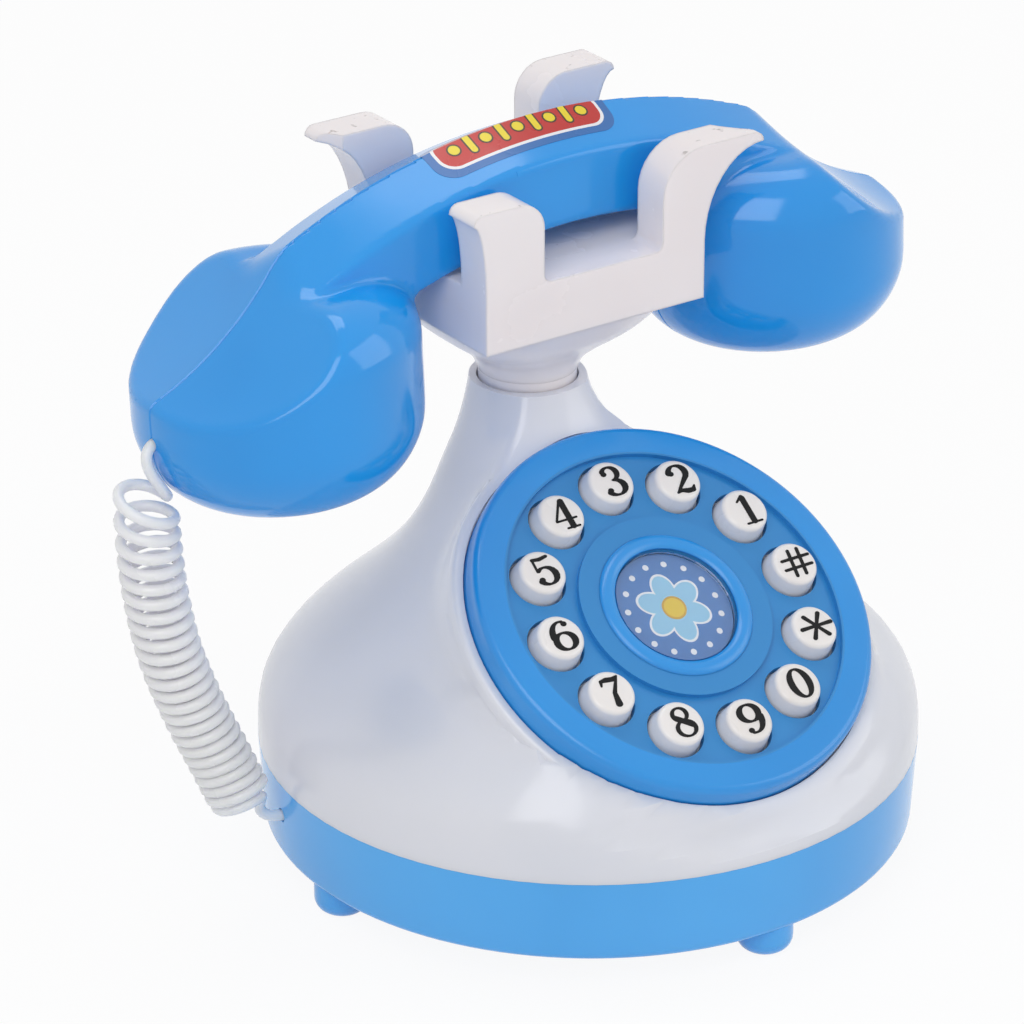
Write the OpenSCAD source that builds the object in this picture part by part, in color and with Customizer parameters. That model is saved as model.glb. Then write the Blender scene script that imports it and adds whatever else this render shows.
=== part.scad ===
// Toy table telephone: round base, bell-shaped body with a tilted push-button dial,
// sprung hook on a stem, two-part handset and a curly cord.
// The feet stand on z = 0, the base's axis is Z and the dial faces -Y.

/* [Base] */
// Outside diameter of the base at the seam between tub and shell
base_d = 118; // [96:1:142]
// Height of the tub, from its underside to the seam
tub_h = 15.4; // [12:0.1:20]
// Thickness of the housing's walls
wall = 2; // [1.6:0.1:2.6]
// Height of the feet under the tub
foot_h = 5.5; // [3:0.5:8]
// Diameter of a foot
foot_d = 10; // [8:0.5:14]
// Distance of a foot's centre from the edge of the base
foot_inset = 6.3; // [6:0.1:14]
// Number of case screws
case_screw_count = 4; // [3:1:4]

/* [Body shell] */
// Height of the shell, from the seam to the top of the collar
shell_h = 61.6; // [56:0.2:76]
// Outside diameter of the collar
neck_d = 20.8; // [20:0.1:26]
// How far the neck stands behind the base's axis
neck_back = 19; // [14:0.5:24]

/* [Dial] */
// Outside diameter of the dial ring
dial_d = 73.8; // [70:0.2:80]
// Tilt of the dial from level
dial_tilt = 35.5; // [30:0.5:42]
// How far the dial's centre stands in front of the base's axis
dial_front = 27; // [22:0.2:30]
// Height of the dial's centre above the seam
dial_rise = 35.6; // [30:0.1:40]
// Diameter of a button
button_d = 9.8; // [8:0.1:10.4]
// Diameter of the circle of buttons
button_ring_d = 50; // [48:0.5:54]
// How far a button moves when it is pressed
button_travel = 1.5; // [1:0.1:2]
// Diameter of the lens
lens_d = 22.4; // [18:0.2:25]

/* [Hook] */
// Diameter of the hook's stem
stem_d = 17.6; // [16:0.1:18]
// Height of the hook's underside above the collar
stem_show = 16; // [12:0.5:22]
// Width of the hook block
hook_w = 46; // [40:1:54]
// Depth of the hook block, front to back
hook_depth = 41.6; // [38:0.2:50]
// Height of the hook block up to the saddle
hook_block_h = 10.8; // [9:0.2:14]
// Front left prong: height above the saddle, edge of the gap, inner round and horn
front_left = [15.2, 11, 5, 2.5]; // [2:0.1:24]
// Front right prong: height above the saddle, edge of the gap, inner round and horn
front_right = [17.6, 14, 8.5, 12.5]; // [2:0.1:24]
// Rear left prong: height above the saddle, edge of the gap, inner round and horn
rear_left = [20.2, 15, 6, 9.5]; // [2:0.1:24]
// Rear right prong: height above the saddle, edge of the gap, inner round and horn
rear_right = [22, 11.6, 6, 4.9]; // [2:0.1:24]
// Thickness of a prong, front to back
prong_t = 7.6; // [6:0.2:9]
// How far the hook rises when the handset is lifted
hook_travel = 3; // [2:0.5:4]

/* [Handset] */
// Distance between the centres of the two bowls
bowl_spacing = 104.4; // [94:0.2:126]
// Diameter of a bowl
bowl_d = 50.6; // [42:0.2:60]
// Height of a bowl, from its underside to its shoulder
bowl_h = 36.6; // [30:0.1:42]
// Radius of the handle's curve, along its ridge
handle_bend = 118; // [100:1:142]
// Width of the handle
handle_w = 20; // [17:0.5:22]
// Height of the handle, from its underside to its ridge
handle_t = 17.6; // [15:0.2:20]
// Lean of the resting handset towards its cord
handset_lean = 2.5; // [0:0.5:3]

/* [Cord] */
// Diameter of the cord's wire
wire_d = 2; // [1.6:0.1:2.4]
// Outside diameter of the curls
curl_d = 11.6; // [10:0.2:12]

/* [Hidden] */
$fn = 64;

// Clearances
slide_gap = 0.3;
snug_gap = 0.15;
seam_gap = 0.1;

// Heights of the stack, from the feet up
tub_z = foot_h;
floor_z = tub_z + wall;
seam_z = tub_z + tub_h;
collar_z = seam_z + shell_h;
hook_z = collar_z + stem_show;
saddle_z = hook_z + hook_block_h;
base_r = base_d / 2;
tub_draft = 0.8;
edge_r = 1.5;
lip_r = base_r - wall - snug_gap - 0.2;

// Shape of the bell, from the seam (0) to the collar (1)
bell_middle = 0.445;
bell_power = 3.5;
lean_start = 0.17;
lean_end = 0.77;
neck_r = neck_d / 2;
inside_top = seam_z + shell_h * 0.74;

// The dial's stack, measured along its axis from the button tops
ring_top = -2;
face_top = -3;
face_t = 2;
face_back = face_top - face_t;
seat_h = -8;
rim_h = -6.9;
bead_top = -1.2;
dial_r = dial_d / 2;
dial_z = seam_z + dial_rise;
rim_w = 1.9;
ring_inner_r = dial_r - 5.9;
disc_r = button_ring_d / 2 - button_d / 2 - 2.2;
lens_r = lens_d / 2;
bead_w = 3;
flange_t = 1.2;
button_bottom = face_back - flange_t - 1;
dome_top = button_bottom - button_travel - slide_gap;
mat_top = dome_top - 0.9;
mat_t = 1;
board_top = mat_top - mat_t;
board_t = 1.6;
button_count = 12;
button_names = ["button_hash", "button_1", "button_2", "button_3", "button_4", "button_5",
                "button_6", "button_7", "button_8", "button_9", "button_0", "button_star"];
button_flange_r = min(button_d / 2 + 1.3, button_ring_d / 2 * sin(180 / button_count) - 0.25);
post_ring_r = button_ring_d / 2 + 5.8;
post_r = 2;
spigot_r = dial_r - 2.9;
spigot_w = 1.4;
spigot_depth = 4;
board_r = spigot_r - spigot_w - slide_gap;

// Screws: shank and head radii
screw_r = 1.4;
head_r = 2.7;
head_t = 1.8;
case_post_r = 4.5;
case_boss_r = 3.4;
case_ring_r = base_r - wall - case_post_r - 4;

// Hook stem, its guide in the shell and its retainer
stem_r = stem_d / 2;
guide_r = stem_r + slide_gap;
guide_wall = 1.4;
spring_h = 8;
shelf_t = 2;
stem_bottom = collar_z - 16;
shelf_top = stem_bottom - spring_h;
shelf_z = shelf_top - shelf_t;
pin_r = 3;
washer_t = 1.6;
washer_r = 6;
pin_bottom = shelf_z - hook_travel;

// Battery box, in the tub's floor
cell_r = 7.1;
cell_l = 50.5;
box_wall = 1.5;
box_l = cell_l + 5.5;
box_w = 4 * cell_r + 1.2;
box_y = 22.5;
door_t = 1.2;
box_h = 2 * cell_r + 1.4;
door_screw_x = box_l / 2 + 4.5;

// Speaker, in the tub's floor
speaker_r = 20;
speaker_h = 10;
speaker_y = -29;
grille_slots = 7;

// Power switch, in the tub's floor
switch_x = 37;
switch_y = -19;
switch_travel = 4;

// Handset
bowl_r = bowl_d / 2;
bowl_x = bowl_spacing / 2;
handle_low_r = handle_bend - handle_t;
handle_sag = handle_low_r - sqrt(pow(handle_low_r, 2) - pow(hook_w / 2, 2));
ridge_z = saddle_z + handle_sag + hook_w / 2 * sin(handset_lean) + slide_gap + handle_t;
bowl_top = ridge_z - 16.4;
bowl_z = bowl_top - bowl_h;
shoulder_r = 11;
handle_axis_z = ridge_z - handle_bend;
eave_drop = 4.7;
keel = 3.5;
scoop_r = 55;
scoop_x = bowl_x + 43.2;
scoop_z = ridge_z + 20.1;
lean_pivot_z = bowl_z + bowl_h / 2;
exit_z = bowl_z + 14.5;

// Room between the prongs' horns and the bowls, which pass them when the handset is lifted
horn_gap = 1;
tip_r = 1.8;

// Cord, with heights from the seam: the curls' centre line and the two straight leads
coil_points = [[-79.3, 18, 57.7], [-78.9, 18, 49.3], [-77.8, 18, 39.3], [-75.6, 17.7, 28.3],
               [-72, 16.7, 17.3], [-68.2, 14.7, 7.3], [-65.4, 12, -1.1]];
lead_top_points = [[-75, 19, 68.2], [-77.6, 18.9, 68.3], [-79.5, 18.2, 66.9], [-79.2, 17.2, 63.9],
                   [-77.4, 16, 61.1], [-76.6, 15.6, 59.3]];
lead_base_points = [[-62.5, 12.6, -2.5], [-62.6, 12.7, -4.3], [-61.4, 12.7, -5.9], [-59, 12.4, -6.5],
                    [-56.5, 12, -6.5], [-54, 11.5, -6.5]];
cord_angle = 168;
cord_drop = 6.5;

blue = "DodgerBlue";
white = "White";
ivory = "Ivory";
steel = "Silver";

// ---- Curves and meshes ------------------------------------------------------------------

// Points of an ellipse's arc from angle a0 to a1, in n steps
function arc(x, y, rx, ry, a0, a1, n) =
    [for (i = [0:n]) let (a = a0 + (a1 - a0) * i / n) [x + rx * cos(a), y + ry * sin(a)]];

// The smaller of two lengths, blended over a width k
function soft_min(a, b, k) =
    let (h = max(k - abs(a - b), 0) / max(k, 0.001)) min(a, b) - h * h * k / 4;

function ease(u) = let (v = min(max(u, 0), 1)) v * v * (3 - 2 * v);

// A point at u (0 to 1) on the smooth curve through the points p
function spline(p, u) =
    let (s = min(u, 0.99999) * (len(p) - 1), i = floor(s), t = s - i,
         a = p[max(i - 1, 0)], b = p[i], c = p[i + 1], d = p[min(i + 2, len(p) - 1)])
    ((2 * b) + (c - a) * t + (2 * a - 5 * b + 4 * c - d) * t * t
     + (3 * b - a - 3 * c + d) * t * t * t) / 2;

// Closed skin over a stack of rings that have equally many points
module skin(rings) {
    n = len(rings[0]);
    m = len(rings);
    points = [for (ring = rings) each ring];
    sides = [for (j = [0:m - 2], i = [0:n - 1]) let (k = (i + 1) % n)
        each [[j * n + i, (j + 1) * n + i, (j + 1) * n + k], [j * n + i, (j + 1) * n + k, j * n + k]]];
    bottom = [for (i = [0:n - 1]) i];
    top = [for (i = [n - 1:-1:0]) (m - 1) * n + i];
    polyhedron(points, concat([bottom, top], sides), convexity = 6);
}

// Round bar of radius r along the points p
module bar(p, r, sides) {
    last = len(p) - 1;
    skin([for (j = [0:last])
        let (along = p[min(j + 1, last)] - p[max(j - 1, 0)], t = along / norm(along),
             across = cross([0, 1, 0.001], t), u = across / norm(across), v = cross(t, u))
        [for (i = [0:sides - 1]) let (a = 360 * i / sides) p[j] + r * (cos(a) * u + sin(a) * v)]]);
}

module at_dial() {
    translate([0, -dial_front, dial_z]) rotate([dial_tilt, 0, 0]) children();
}

module at_neck() {
    translate([0, neck_back, 0]) children();
}

// A pan-head screw: the head under z = 0, the shank above it
module screw(length) {
    translate([0, 0, -head_t]) cylinder(r = head_r, h = head_t);
    cylinder(r = screw_r, h = length);
}

// ---- Base ---------------------------------------------------------------------------------

module case_screw_places() {
    for (i = [0:case_screw_count - 1])
        rotate(45 + i * 360 / case_screw_count) translate([case_ring_r, 0, 0]) children();
}

module foot() {
    rotate_extrude() polygon(concat([[0, foot_h + 0.5]], [[0, 0]],
        arc(foot_d / 2 - 2.5, foot_h / 2, 2.5, foot_h / 2, -90, 0, 6), [[foot_d / 2, foot_h + 0.5]]));
}

module tub_cup() {
    low_r = base_r - tub_draft;
    rotate_extrude($fn = 128) polygon(concat([[0, floor_z], [0, tub_z]],
        arc(low_r - edge_r, tub_z + edge_r, edge_r, edge_r, -90, 0, 5),
        [[base_r, seam_z], [base_r - wall, seam_z], [low_r - wall, floor_z]]));
}

// Ring inside the seam that locates the shell
module tub_lip() difference() {
    rotate_extrude($fn = 128) polygon([[lip_r - 1.2, seam_z - 4], [base_r - wall, seam_z - 4],
        [base_r - wall, seam_z - seam_gap], [lip_r, seam_z - seam_gap], [lip_r, seam_z + 2],
        [lip_r - 1.2, seam_z + 2]]);
    translate([-base_r, -base_r, seam_z - seam_gap]) cube([base_d, base_r / 3, 4]);
}

module box_on_floor(l, w, h) {
    translate([-l / 2, box_y - w / 2, floor_z - 0.01]) cube([l, w, h]);
}

// Outline of the battery door with its screw tab, m wider than the box all round
module door_plate(m, z, t) {
    translate([-box_l / 2 - m, box_y - box_w / 2 - m, z]) cube([box_l + 2 * m, box_w + 2 * m, t]);
    translate([0, box_y - 4.5 - m, z]) cube([door_screw_x + 2 + m, 9 + 2 * m, t]);
}

module cord_hole() {
    rotate(cord_angle) translate([base_r - 9, 0, seam_z - cord_drop]) rotate([0, 90, 0])
        cylinder(r = wire_d / 2 + slide_gap, h = 14, $fn = 24);
}

module base_tub() color(blue) difference() {
    union() {
        tub_cup();
        tub_lip();
        for (a = [0:90:270]) rotate(a) translate([base_r - foot_inset, 0, 0]) foot();
        case_screw_places() translate([0, 0, tub_z + 0.5]) cylinder(r = case_post_r, h = tub_h - 0.6);
        box_on_floor(box_l + 2 * box_wall, box_w + 2 * box_wall, box_h + box_wall);
        translate([door_screw_x, box_y, tub_z + door_t + 0.2]) cylinder(r = 3.2, h = 7);
        translate([0, speaker_y, floor_z - 0.01]) difference() {
            cylinder(r = speaker_r + 1.8, h = 4);
            translate([0, 0, -1]) cylinder(r = speaker_r + snug_gap, h = 6);
        }
        for (s = [-1, 1]) translate([switch_x - 8, switch_y + s * 5 - 0.75, floor_z - 0.01])
            cube([16, 1.5, 4]);
    }
    box_on_floor(box_l, box_w, box_h);
    translate([-box_l / 2 + 1, box_y - box_w / 2 + 1, tub_z - 1]) cube([box_l - 2, box_w - 2, 6]);
    door_plate(2.5, tub_z - 1, door_t + 1);
    translate([door_screw_x, box_y, tub_z - 1]) cylinder(r = screw_r + 0.05, h = 8, $fn = 24);
    case_screw_places() {
        translate([0, 0, tub_z - 1]) cylinder(r = head_r + slide_gap, h = 7);
        translate([0, 0, tub_z]) cylinder(r = screw_r + slide_gap, h = tub_h + 3);
    }
    for (i = [0:grille_slots - 1]) {
        y = (i - (grille_slots - 1) / 2) * 4;
        half = sqrt(pow(speaker_r - 4, 2) - y * y);
        translate([-half, speaker_y + y - 0.8, tub_z - 1]) cube([2 * half, 1.6, wall + 2]);
    }
    translate([switch_x - 6, switch_y - 2, tub_z - 1]) cube([12, 4, wall + 2]);
    cord_hole();
}

module battery_door() color(blue) {
    difference() {
        door_plate(2.3, tub_z, door_t - seam_gap);
        translate([door_screw_x, box_y, tub_z - 1]) cylinder(r = screw_r + 0.2, h = 4, $fn = 24);
        for (i = [0:4]) translate([-box_l / 2 + 4 + 2.4 * i, box_y - 8, tub_z - 1])
            cube([1, 16, 1.5]);
    }
}

module battery_door_screw() color(steel)
    translate([door_screw_x, box_y, tub_z - 0.1]) screw(6.5);

module batteries() color("DimGray")
    for (s = [-1, 1]) translate([-s * cell_l / 2, box_y + s * (cell_r + 0.2), tub_z + door_t + 0.1 + cell_r])
        rotate([0, s * 90, 0]) {
            cylinder(r = cell_r, h = cell_l - 1.2);
            cylinder(r = 2.7, h = cell_l);
        }

module battery_contacts() color(steel)
    for (s = [-1, 1], y = [-1, 1]) translate([0, box_y + y * (cell_r + 0.2), tub_z + door_t + 0.1 + cell_r]) {
        gap = box_l / 2 - cell_l / 2;
        translate([s * (box_l / 2 - 0.4) - 0.2, -5, -5]) cube([0.4, 10, 10]);
        if (s == y) translate([s * (cell_l / 2 + 0.1), 0, 0]) rotate([0, s * 90, 0])
            cylinder(r = 1.6, h = gap - 0.6);
        else translate([s * (cell_l / 2 + 0.1), 0, 0]) rotate([0, s * 90, 0])
            cylinder(r = 3.4, h = gap - 0.6);
    }

module speaker() color("DimGray") translate([0, speaker_y, floor_z + 0.1]) rotate_extrude()
    polygon([[0, 2.5], [4, 2.5], [13, 0.5], [16, 0], [speaker_r, 0], [speaker_r, 1.2],
             [16, 1.2], [9, 5], [9, speaker_h], [0, speaker_h]]);

module power_switch() color("DimGray") translate([switch_x - switch_travel / 2, switch_y, 0]) {
    translate([-1.5, -1.7, tub_z + 0.3]) cube([3, 3.4, wall]);
    translate([-4, -4, floor_z + 0.2]) cube([8, 8, 1.6]);
}

module case_screws() color(steel)
    case_screw_places() translate([0, 0, tub_z + 6]) screw(tub_h);

// ---- Body shell -----------------------------------------------------------------------------

// The bell's radius at a share u of its height
function bell_fade(u) =
    let (k = 1 / (1 + pow(1 / bell_middle, bell_power)))
    (1 / (1 + pow(max(u, 0) / bell_middle, bell_power)) - k) / (1 - k);
function bell_r(z) = neck_r + (base_r - neck_r) * bell_fade((z - seam_z) / shell_h);
// The share of the height at which the bell has radius r
function bell_share(r) =
    let (k = 1 / (1 + pow(1 / bell_middle, bell_power)),
         g = (r - neck_r) / (base_r - neck_r) * (1 - k) + k)
    bell_middle * pow(1 / g - 1, 1 / bell_power);
// How far the bell's axis has moved back at height z
function bell_back(z) = neck_back * ease(((z - seam_z) / shell_h - lean_start) / (lean_end - lean_start));

// Height of a point along the dial's axis, and its distance from that axis
function dial_h(p) = -(p.y + dial_front) * sin(dial_tilt) + (p.z - dial_z) * cos(dial_tilt);
function dial_dist(p) = norm([p.x, (p.y + dial_front) * cos(dial_tilt) + (p.z - dial_z) * sin(dial_tilt)]);

// The bell, flattened in front so that the dial's lower edge stands clear of it
function flat_r(a, z) =
    let (y = -dial_front + ((z - dial_z) * cos(dial_tilt) - seat_h + 0.5) / sin(dial_tilt),
         lift = 90 * ease((z - dial_z + 12) / 20))
    sin(a) < -0.05 && z < dial_z + 8 ? (y - bell_back(z)) / sin(a) + lift : 999;
function body_r(a, z) = soft_min(bell_r(z), flat_r(a, z), min(7, max(z - seam_z, 0) * 0.8));

// Distance of a point outside the body: the bell blended into the round dial seat
function body_gap(p, a) =
    soft_min(norm([p.x, p.y - bell_back(p.z)]) - body_r(a, p.z),
             max(dial_dist(p) - dial_r - rim_w, dial_h(p) - rim_h + 0.5), min(12, max(p.z - seam_z, 0)));
function ray(a, z, r) = [r * cos(a), bell_back(z) + r * sin(a), z];
function body_edge(a, z, r, n) =
    let (d = body_gap(ray(a, z, r), a)) (n == 0 || d < 0.01) ? r : body_edge(a, z, r - d, n - 1);

function ring_z(i, n, top) = seam_z + (top - seam_z) * i / n;

// Outside of the shell
module body_outside() {
    steps = 30;
    around = 84;
    skin([for (j = [0:steps]) let (z = ring_z(j, steps, collar_z))
        [for (i = [0:around - 1]) let (a = 360 * i / around) ray(a, z, body_edge(a, z, base_r + 8, 40))]]);
}

// Inside of the shell, up to where the neck closes on the hook's guide
module body_inside() {
    steps = 14;
    around = 48;
    skin([for (j = [-1:steps]) let (z = ring_z(j, steps, inside_top), up = max(z, seam_z) + wall * 0.7)
        [for (i = [0:around - 1]) let (a = 360 * i / around)
            ray(a, z, body_r(a, up) - wall * 0.8)]]);
}

// Round rim that the dial sits in
module dial_rim() {
    inner = dial_r + slide_gap;
    outer = dial_r + rim_w + 0.3;
    rotate_extrude($fn = 128) polygon(concat([[inner, rim_h], [inner, seat_h - 1.5], [outer, seat_h - 1.5]],
        arc(outer - 1, rim_h - 1, 1, 1, 0, 90, 5)));
}

module body_shell() color(white) difference() {
    union() {
        difference() {
            body_outside();
            body_inside();
            at_dial() translate([0, 0, board_top - board_t - 9]) cylinder(r = spigot_r - 2, h = 14);
        }
        at_dial() dial_rim();
        at_neck() translate([0, 0, shelf_z])
            cylinder(r = guide_r + guide_wall, h = inside_top + 1.5 - shelf_z);
        case_screw_places() translate([0, 0, seam_z])
            cylinder(r = case_boss_r, h = shell_h * bell_share(case_ring_r + case_boss_r) - 0.5);
    }
    at_dial() {
        translate([0, 0, seat_h]) cylinder(r = dial_r + slide_gap, h = 40, $fn = 128);
        translate([0, 0, seat_h - spigot_depth - 1]) cylinder(r = spigot_r + snug_gap, h = 20, $fn = 128);
        translate([0, 0, board_top - board_t - 3]) cylinder(r = spigot_r - 1, h = 20);
    }
    at_neck() {
        translate([0, 0, shelf_top]) cylinder(r = guide_r, h = collar_z);
        translate([0, 0, shelf_z - 1]) cylinder(r = pin_r + slide_gap, h = shelf_t + 2, $fn = 32);
    }
    case_screw_places() translate([0, 0, seam_z - 1]) cylinder(r = screw_r + 0.05, h = 12, $fn = 24);
}

// ---- Dial ---------------------------------------------------------------------------------

function button_angle(i) = 30 * i;

module button_places() {
    for (i = [0:button_count - 1]) rotate(button_angle(i)) translate([button_ring_d / 2, 0, 0]) children();
}

module post_places() {
    for (i = [0:3]) rotate(15 + 90 * i) translate([post_ring_r, 0, 0]) children();
}

module dial_face() color(blue) at_dial() difference() {
    union() {
        rotate_extrude($fn = 128) polygon(concat(
            [[lens_r - 1.4, ring_top - 2.4], [lens_r, ring_top - 2.4], [lens_r, bead_top - 0.5]],
            arc(lens_r + bead_w / 2, bead_top - 0.9, bead_w / 2, 0.9, 180, 0, 10),
            [[lens_r + bead_w, ring_top], [disc_r, ring_top], [disc_r, face_top],
             [ring_inner_r, face_top], [ring_inner_r, ring_top]],
            arc(dial_r - 1.4, ring_top - 1.4, 1.4, 1.4, 90, 0, 5),
            [[dial_r, seat_h], [spigot_r, seat_h], [spigot_r, seat_h - spigot_depth],
             [spigot_r - spigot_w, seat_h - spigot_depth], [spigot_r - spigot_w, face_back],
             [lens_r - 1.4, face_back]]));
        post_places() translate([0, 0, board_top])
            cylinder(r = post_r, h = face_back - board_top + 0.5, $fn = 32);
    }
    button_places() translate([0, 0, face_back - 1]) cylinder(r = button_d / 2 + slide_gap, h = 6, $fn = 48);
    post_places() translate([0, 0, board_top - 1]) cylinder(r = 0.95, h = 5, $fn = 24);
}

module dial_lens() color("AliceBlue", 0.4) at_dial() translate([0, 0, ring_top - 1.5])
    rotate_extrude($fn = 96) polygon(concat([[0, 0]], [[lens_r - snug_gap, 0]],
        [for (i = [0:8]) let (r = (lens_r - snug_gap) * (1 - i / 8))
            [r, 1 + 0.7 * (1 - pow(r / lens_r, 2))]]));

module dial_picture() color("SteelBlue") at_dial() translate([0, 0, ring_top - 2])
    cylinder(r = lens_r - snug_gap, h = 0.4);

module button(i) color(ivory) at_dial() rotate(button_angle(i)) translate([button_ring_d / 2, 0, 0]) {
    r = button_d / 2;
    rotate_extrude($fn = 48) polygon(concat([[0, button_bottom], [3, button_bottom],
        [3, face_back - flange_t - seam_gap], [button_flange_r, face_back - flange_t - seam_gap],
        [button_flange_r, face_back - seam_gap], [r, face_back - seam_gap]],
        arc(r - 1, -1, 1, 1, 0, 90, 5), [[0, 0]]));
}

module button_mat() color("Gray") at_dial() difference() {
    union() {
        translate([0, 0, mat_top - mat_t]) cylinder(r = post_ring_r - post_r - 0.3, h = mat_t);
        button_places() translate([0, 0, mat_top - 0.3])
            cylinder(r1 = 3.2, r2 = 2.4, h = dome_top - mat_top + 0.3, $fn = 24);
    }
    translate([0, 0, mat_top - mat_t - 1]) cylinder(r = button_ring_d / 2 - 6, h = 6);
}

module sound_board() color("DarkGreen") at_dial() difference() {
    translate([0, 0, board_top - board_t]) cylinder(r = board_r, h = board_t - 0.05);
    post_places() translate([0, 0, board_top - board_t - 1]) cylinder(r = 1.2, h = 5, $fn = 24);
}

module board_screws() color(steel) at_dial() post_places() translate([0, 0, board_top - board_t - 1.4]) {
    cylinder(r = 1.8, h = 1.35, $fn = 24);
    cylinder(r = 0.9, h = 5.5, $fn = 24);
}

module picture_lamp() color("WhiteSmoke") at_dial() translate([0, 0, board_top]) {
    cylinder(r = 2.9, h = 1, $fn = 32);
    cylinder(r = 2.5, h = 3, $fn = 32);
    translate([0, 0, 3]) intersection() {
        sphere(r = 2.5, $fn = 32);
        cylinder(r = 3, h = 3);
    }
}

// ---- Hook ---------------------------------------------------------------------------------

// Front view of one prong with its half of the block, on the +X side
function prong_side(prong) =
    let (w = hook_w / 2, top = hook_block_h + prong[0], gap = prong[1], r = prong[2], tip = w + prong[3])
    concat([[0, 0], [w, 0], [w, hook_block_h]],
           arc(tip, hook_block_h, prong[3], prong[0] - tip_r, 180, 90, 10),
           arc(tip - tip_r, top - tip_r, tip_r, tip_r, 0, 90, 4),
           arc(gap + r, top - r, r, r, 90, 180, 8),
           arc(gap - 1.5, hook_block_h + 1.5, 1.5, 1.5, 0, -90, 4), [[0, hook_block_h]]);

// One wall of the hook: a left prong, a right prong and the saddle between them
module hook_wall(left, right) {
    rotate([90, 0, 0]) linear_extrude(prong_t, center = true) {
        polygon(prong_side(right));
        mirror([1, 0]) polygon(prong_side(left));
    }
}

module hook() color(ivory) at_neck() difference() {
    union() {
        rotate_extrude($fn = 96) polygon(concat([[0, hook_z + 2], [0, stem_bottom], [stem_r, stem_bottom]],
            arc(stem_r + 8, hook_z - 10, 8, 10, 180, 90, 10), [[stem_r + 8, hook_z + 2]]));
        translate([0, -(hook_depth - prong_t) / 2, hook_z]) hook_wall(front_left, front_right);
        translate([0, (hook_depth - prong_t) / 2, hook_z]) hook_wall(rear_left, rear_right);
        translate([-hook_w / 2, -hook_depth / 2 + 2, hook_z]) cube([hook_w, hook_depth - 4, hook_block_h]);
        translate([0, 0, pin_bottom]) cylinder(r = pin_r, h = stem_bottom - pin_bottom + 1, $fn = 32);
    }
    translate([0, 0, pin_bottom - 1]) cylinder(r = screw_r + 0.05, h = 12, $fn = 24);
    for (s = [-1, 1]) translate([s * bowl_x, 0, saddle_z]) cylinder(r = bowl_r + horn_gap, h = 40);
}

module hook_spring() color(steel) at_neck() {
    turns = 5;
    wire = 0.8;
    low = shelf_top + wire / 2 + 0.05;
    rise = spring_h - wire - 0.1;
    steps = turns * 16;
    skin([for (j = [0:steps])
        let (a = 360 * turns * j / steps, c = [6 * cos(a), 6 * sin(a), low + rise * j / steps])
        [for (i = [0:5]) let (b = -60 * i)
            c + wire / 2 * (cos(b) * [cos(a), sin(a), 0] + sin(b) * [0, 0, 1])]]);
}

module hook_washer() color(steel) at_neck() translate([0, 0, pin_bottom - washer_t]) difference() {
    cylinder(r = washer_r, h = washer_t);
    translate([0, 0, -1]) cylinder(r = screw_r + 0.2, h = 4, $fn = 24);
}

module hook_screw() color(steel) at_neck() translate([0, 0, pin_bottom - washer_t]) screw(11);

// ---- Handset ------------------------------------------------------------------------------

module at_handset() {
    translate([0, neck_back, lean_pivot_z]) rotate([0, -handset_lean, 0])
        translate([0, 0, -lean_pivot_z]) children();
}

// Cross-section of the handle: a low gable roof over straight walls, shrunk by s
function handle_section(s) =
    let (w = handle_w / 2 - s, low = handle_bend - handle_t + s, eave = handle_bend - eave_drop - s)
    [[low, -w + 2], [low + 2, -w], [eave - 0.6, -w], [eave, -w + 0.6], [handle_bend - s * 1.1, 0],
     [eave, w - 0.6], [eave - 0.6, w], [low + 2, w], [low, w - 2]];

module handle(s) {
    intersection() {
        translate([0, 0, handle_axis_z]) rotate([90, 0, 0])
            rotate_extrude($fn = 180) polygon(handle_section(s));
        translate([-bowl_x - 4 + s, -20, saddle_z - 40]) cube([2 * (bowl_x + 4 - s), 40, 100]);
    }
}

module bowl(s) {
    rotate_extrude($fn = 96) polygon(concat([[0, bowl_z + s]],
        arc(bowl_r * 0.5 - s, bowl_z + bowl_h * 0.4, bowl_r * 0.5, bowl_h * 0.4 - s, -90, 0, 10),
        arc(bowl_r - shoulder_r - s, bowl_top - shoulder_r - s, shoulder_r, shoulder_r, 0, 90, 8),
        [[0, bowl_top - s]]));
}

// Round tool that scoops the top of a bowl, leaving a low keel along the middle
module scoop(s) {
    w = bowl_r + 4;
    rotate([90, 0, 0]) rotate_extrude($fn = 180)
        polygon([[0, -w], [scoop_r + keel * w / bowl_r + s, -w], [scoop_r + s, 0],
                 [scoop_r + keel * w / bowl_r + s, w], [0, w]]);
}

module handset_form(s) difference() {
    union() {
        handle(s);
        for (side = [-1, 1]) translate([side * bowl_x, 0, 0]) bowl(s);
    }
    for (side = [-1, 1]) translate([side * scoop_x, 0, scoop_z]) scoop(s);
}

module handset_screw_places() {
    for (side = [-1, 1]) translate([side * bowl_x, 0, bowl_z + 0.36 * bowl_h]) children();
}

module handset_cord_hole() {
    translate([-bowl_x - bowl_r, 0, exit_z]) rotate([0, 90, 0])
        cylinder(r = wire_d / 2 + slide_gap, h = 8, center = true, $fn = 24);
}

module handset_half(side) {
    intersection() {
        difference() {
            handset_form(0);
            handset_form(wall);
        }
        translate([-100, side > 0 ? seam_gap / 2 : -50 - seam_gap / 2, saddle_z - 60]) cube([200, 50, 120]);
    }
}

module handset_front() color(blue) at_handset() difference() {
    union() {
        handset_half(-1);
        handset_screw_places() translate([0, -seam_gap / 2, 0]) rotate([90, 0, 0])
            cylinder(r = 3.4, h = bowl_r - wall - 0.2, $fn = 32);
    }
    handset_screw_places() translate([0, 1, 0]) rotate([90, 0, 0])
        cylinder(r = screw_r + 0.05, h = 14, $fn = 24);
    handset_cord_hole();
}

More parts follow.
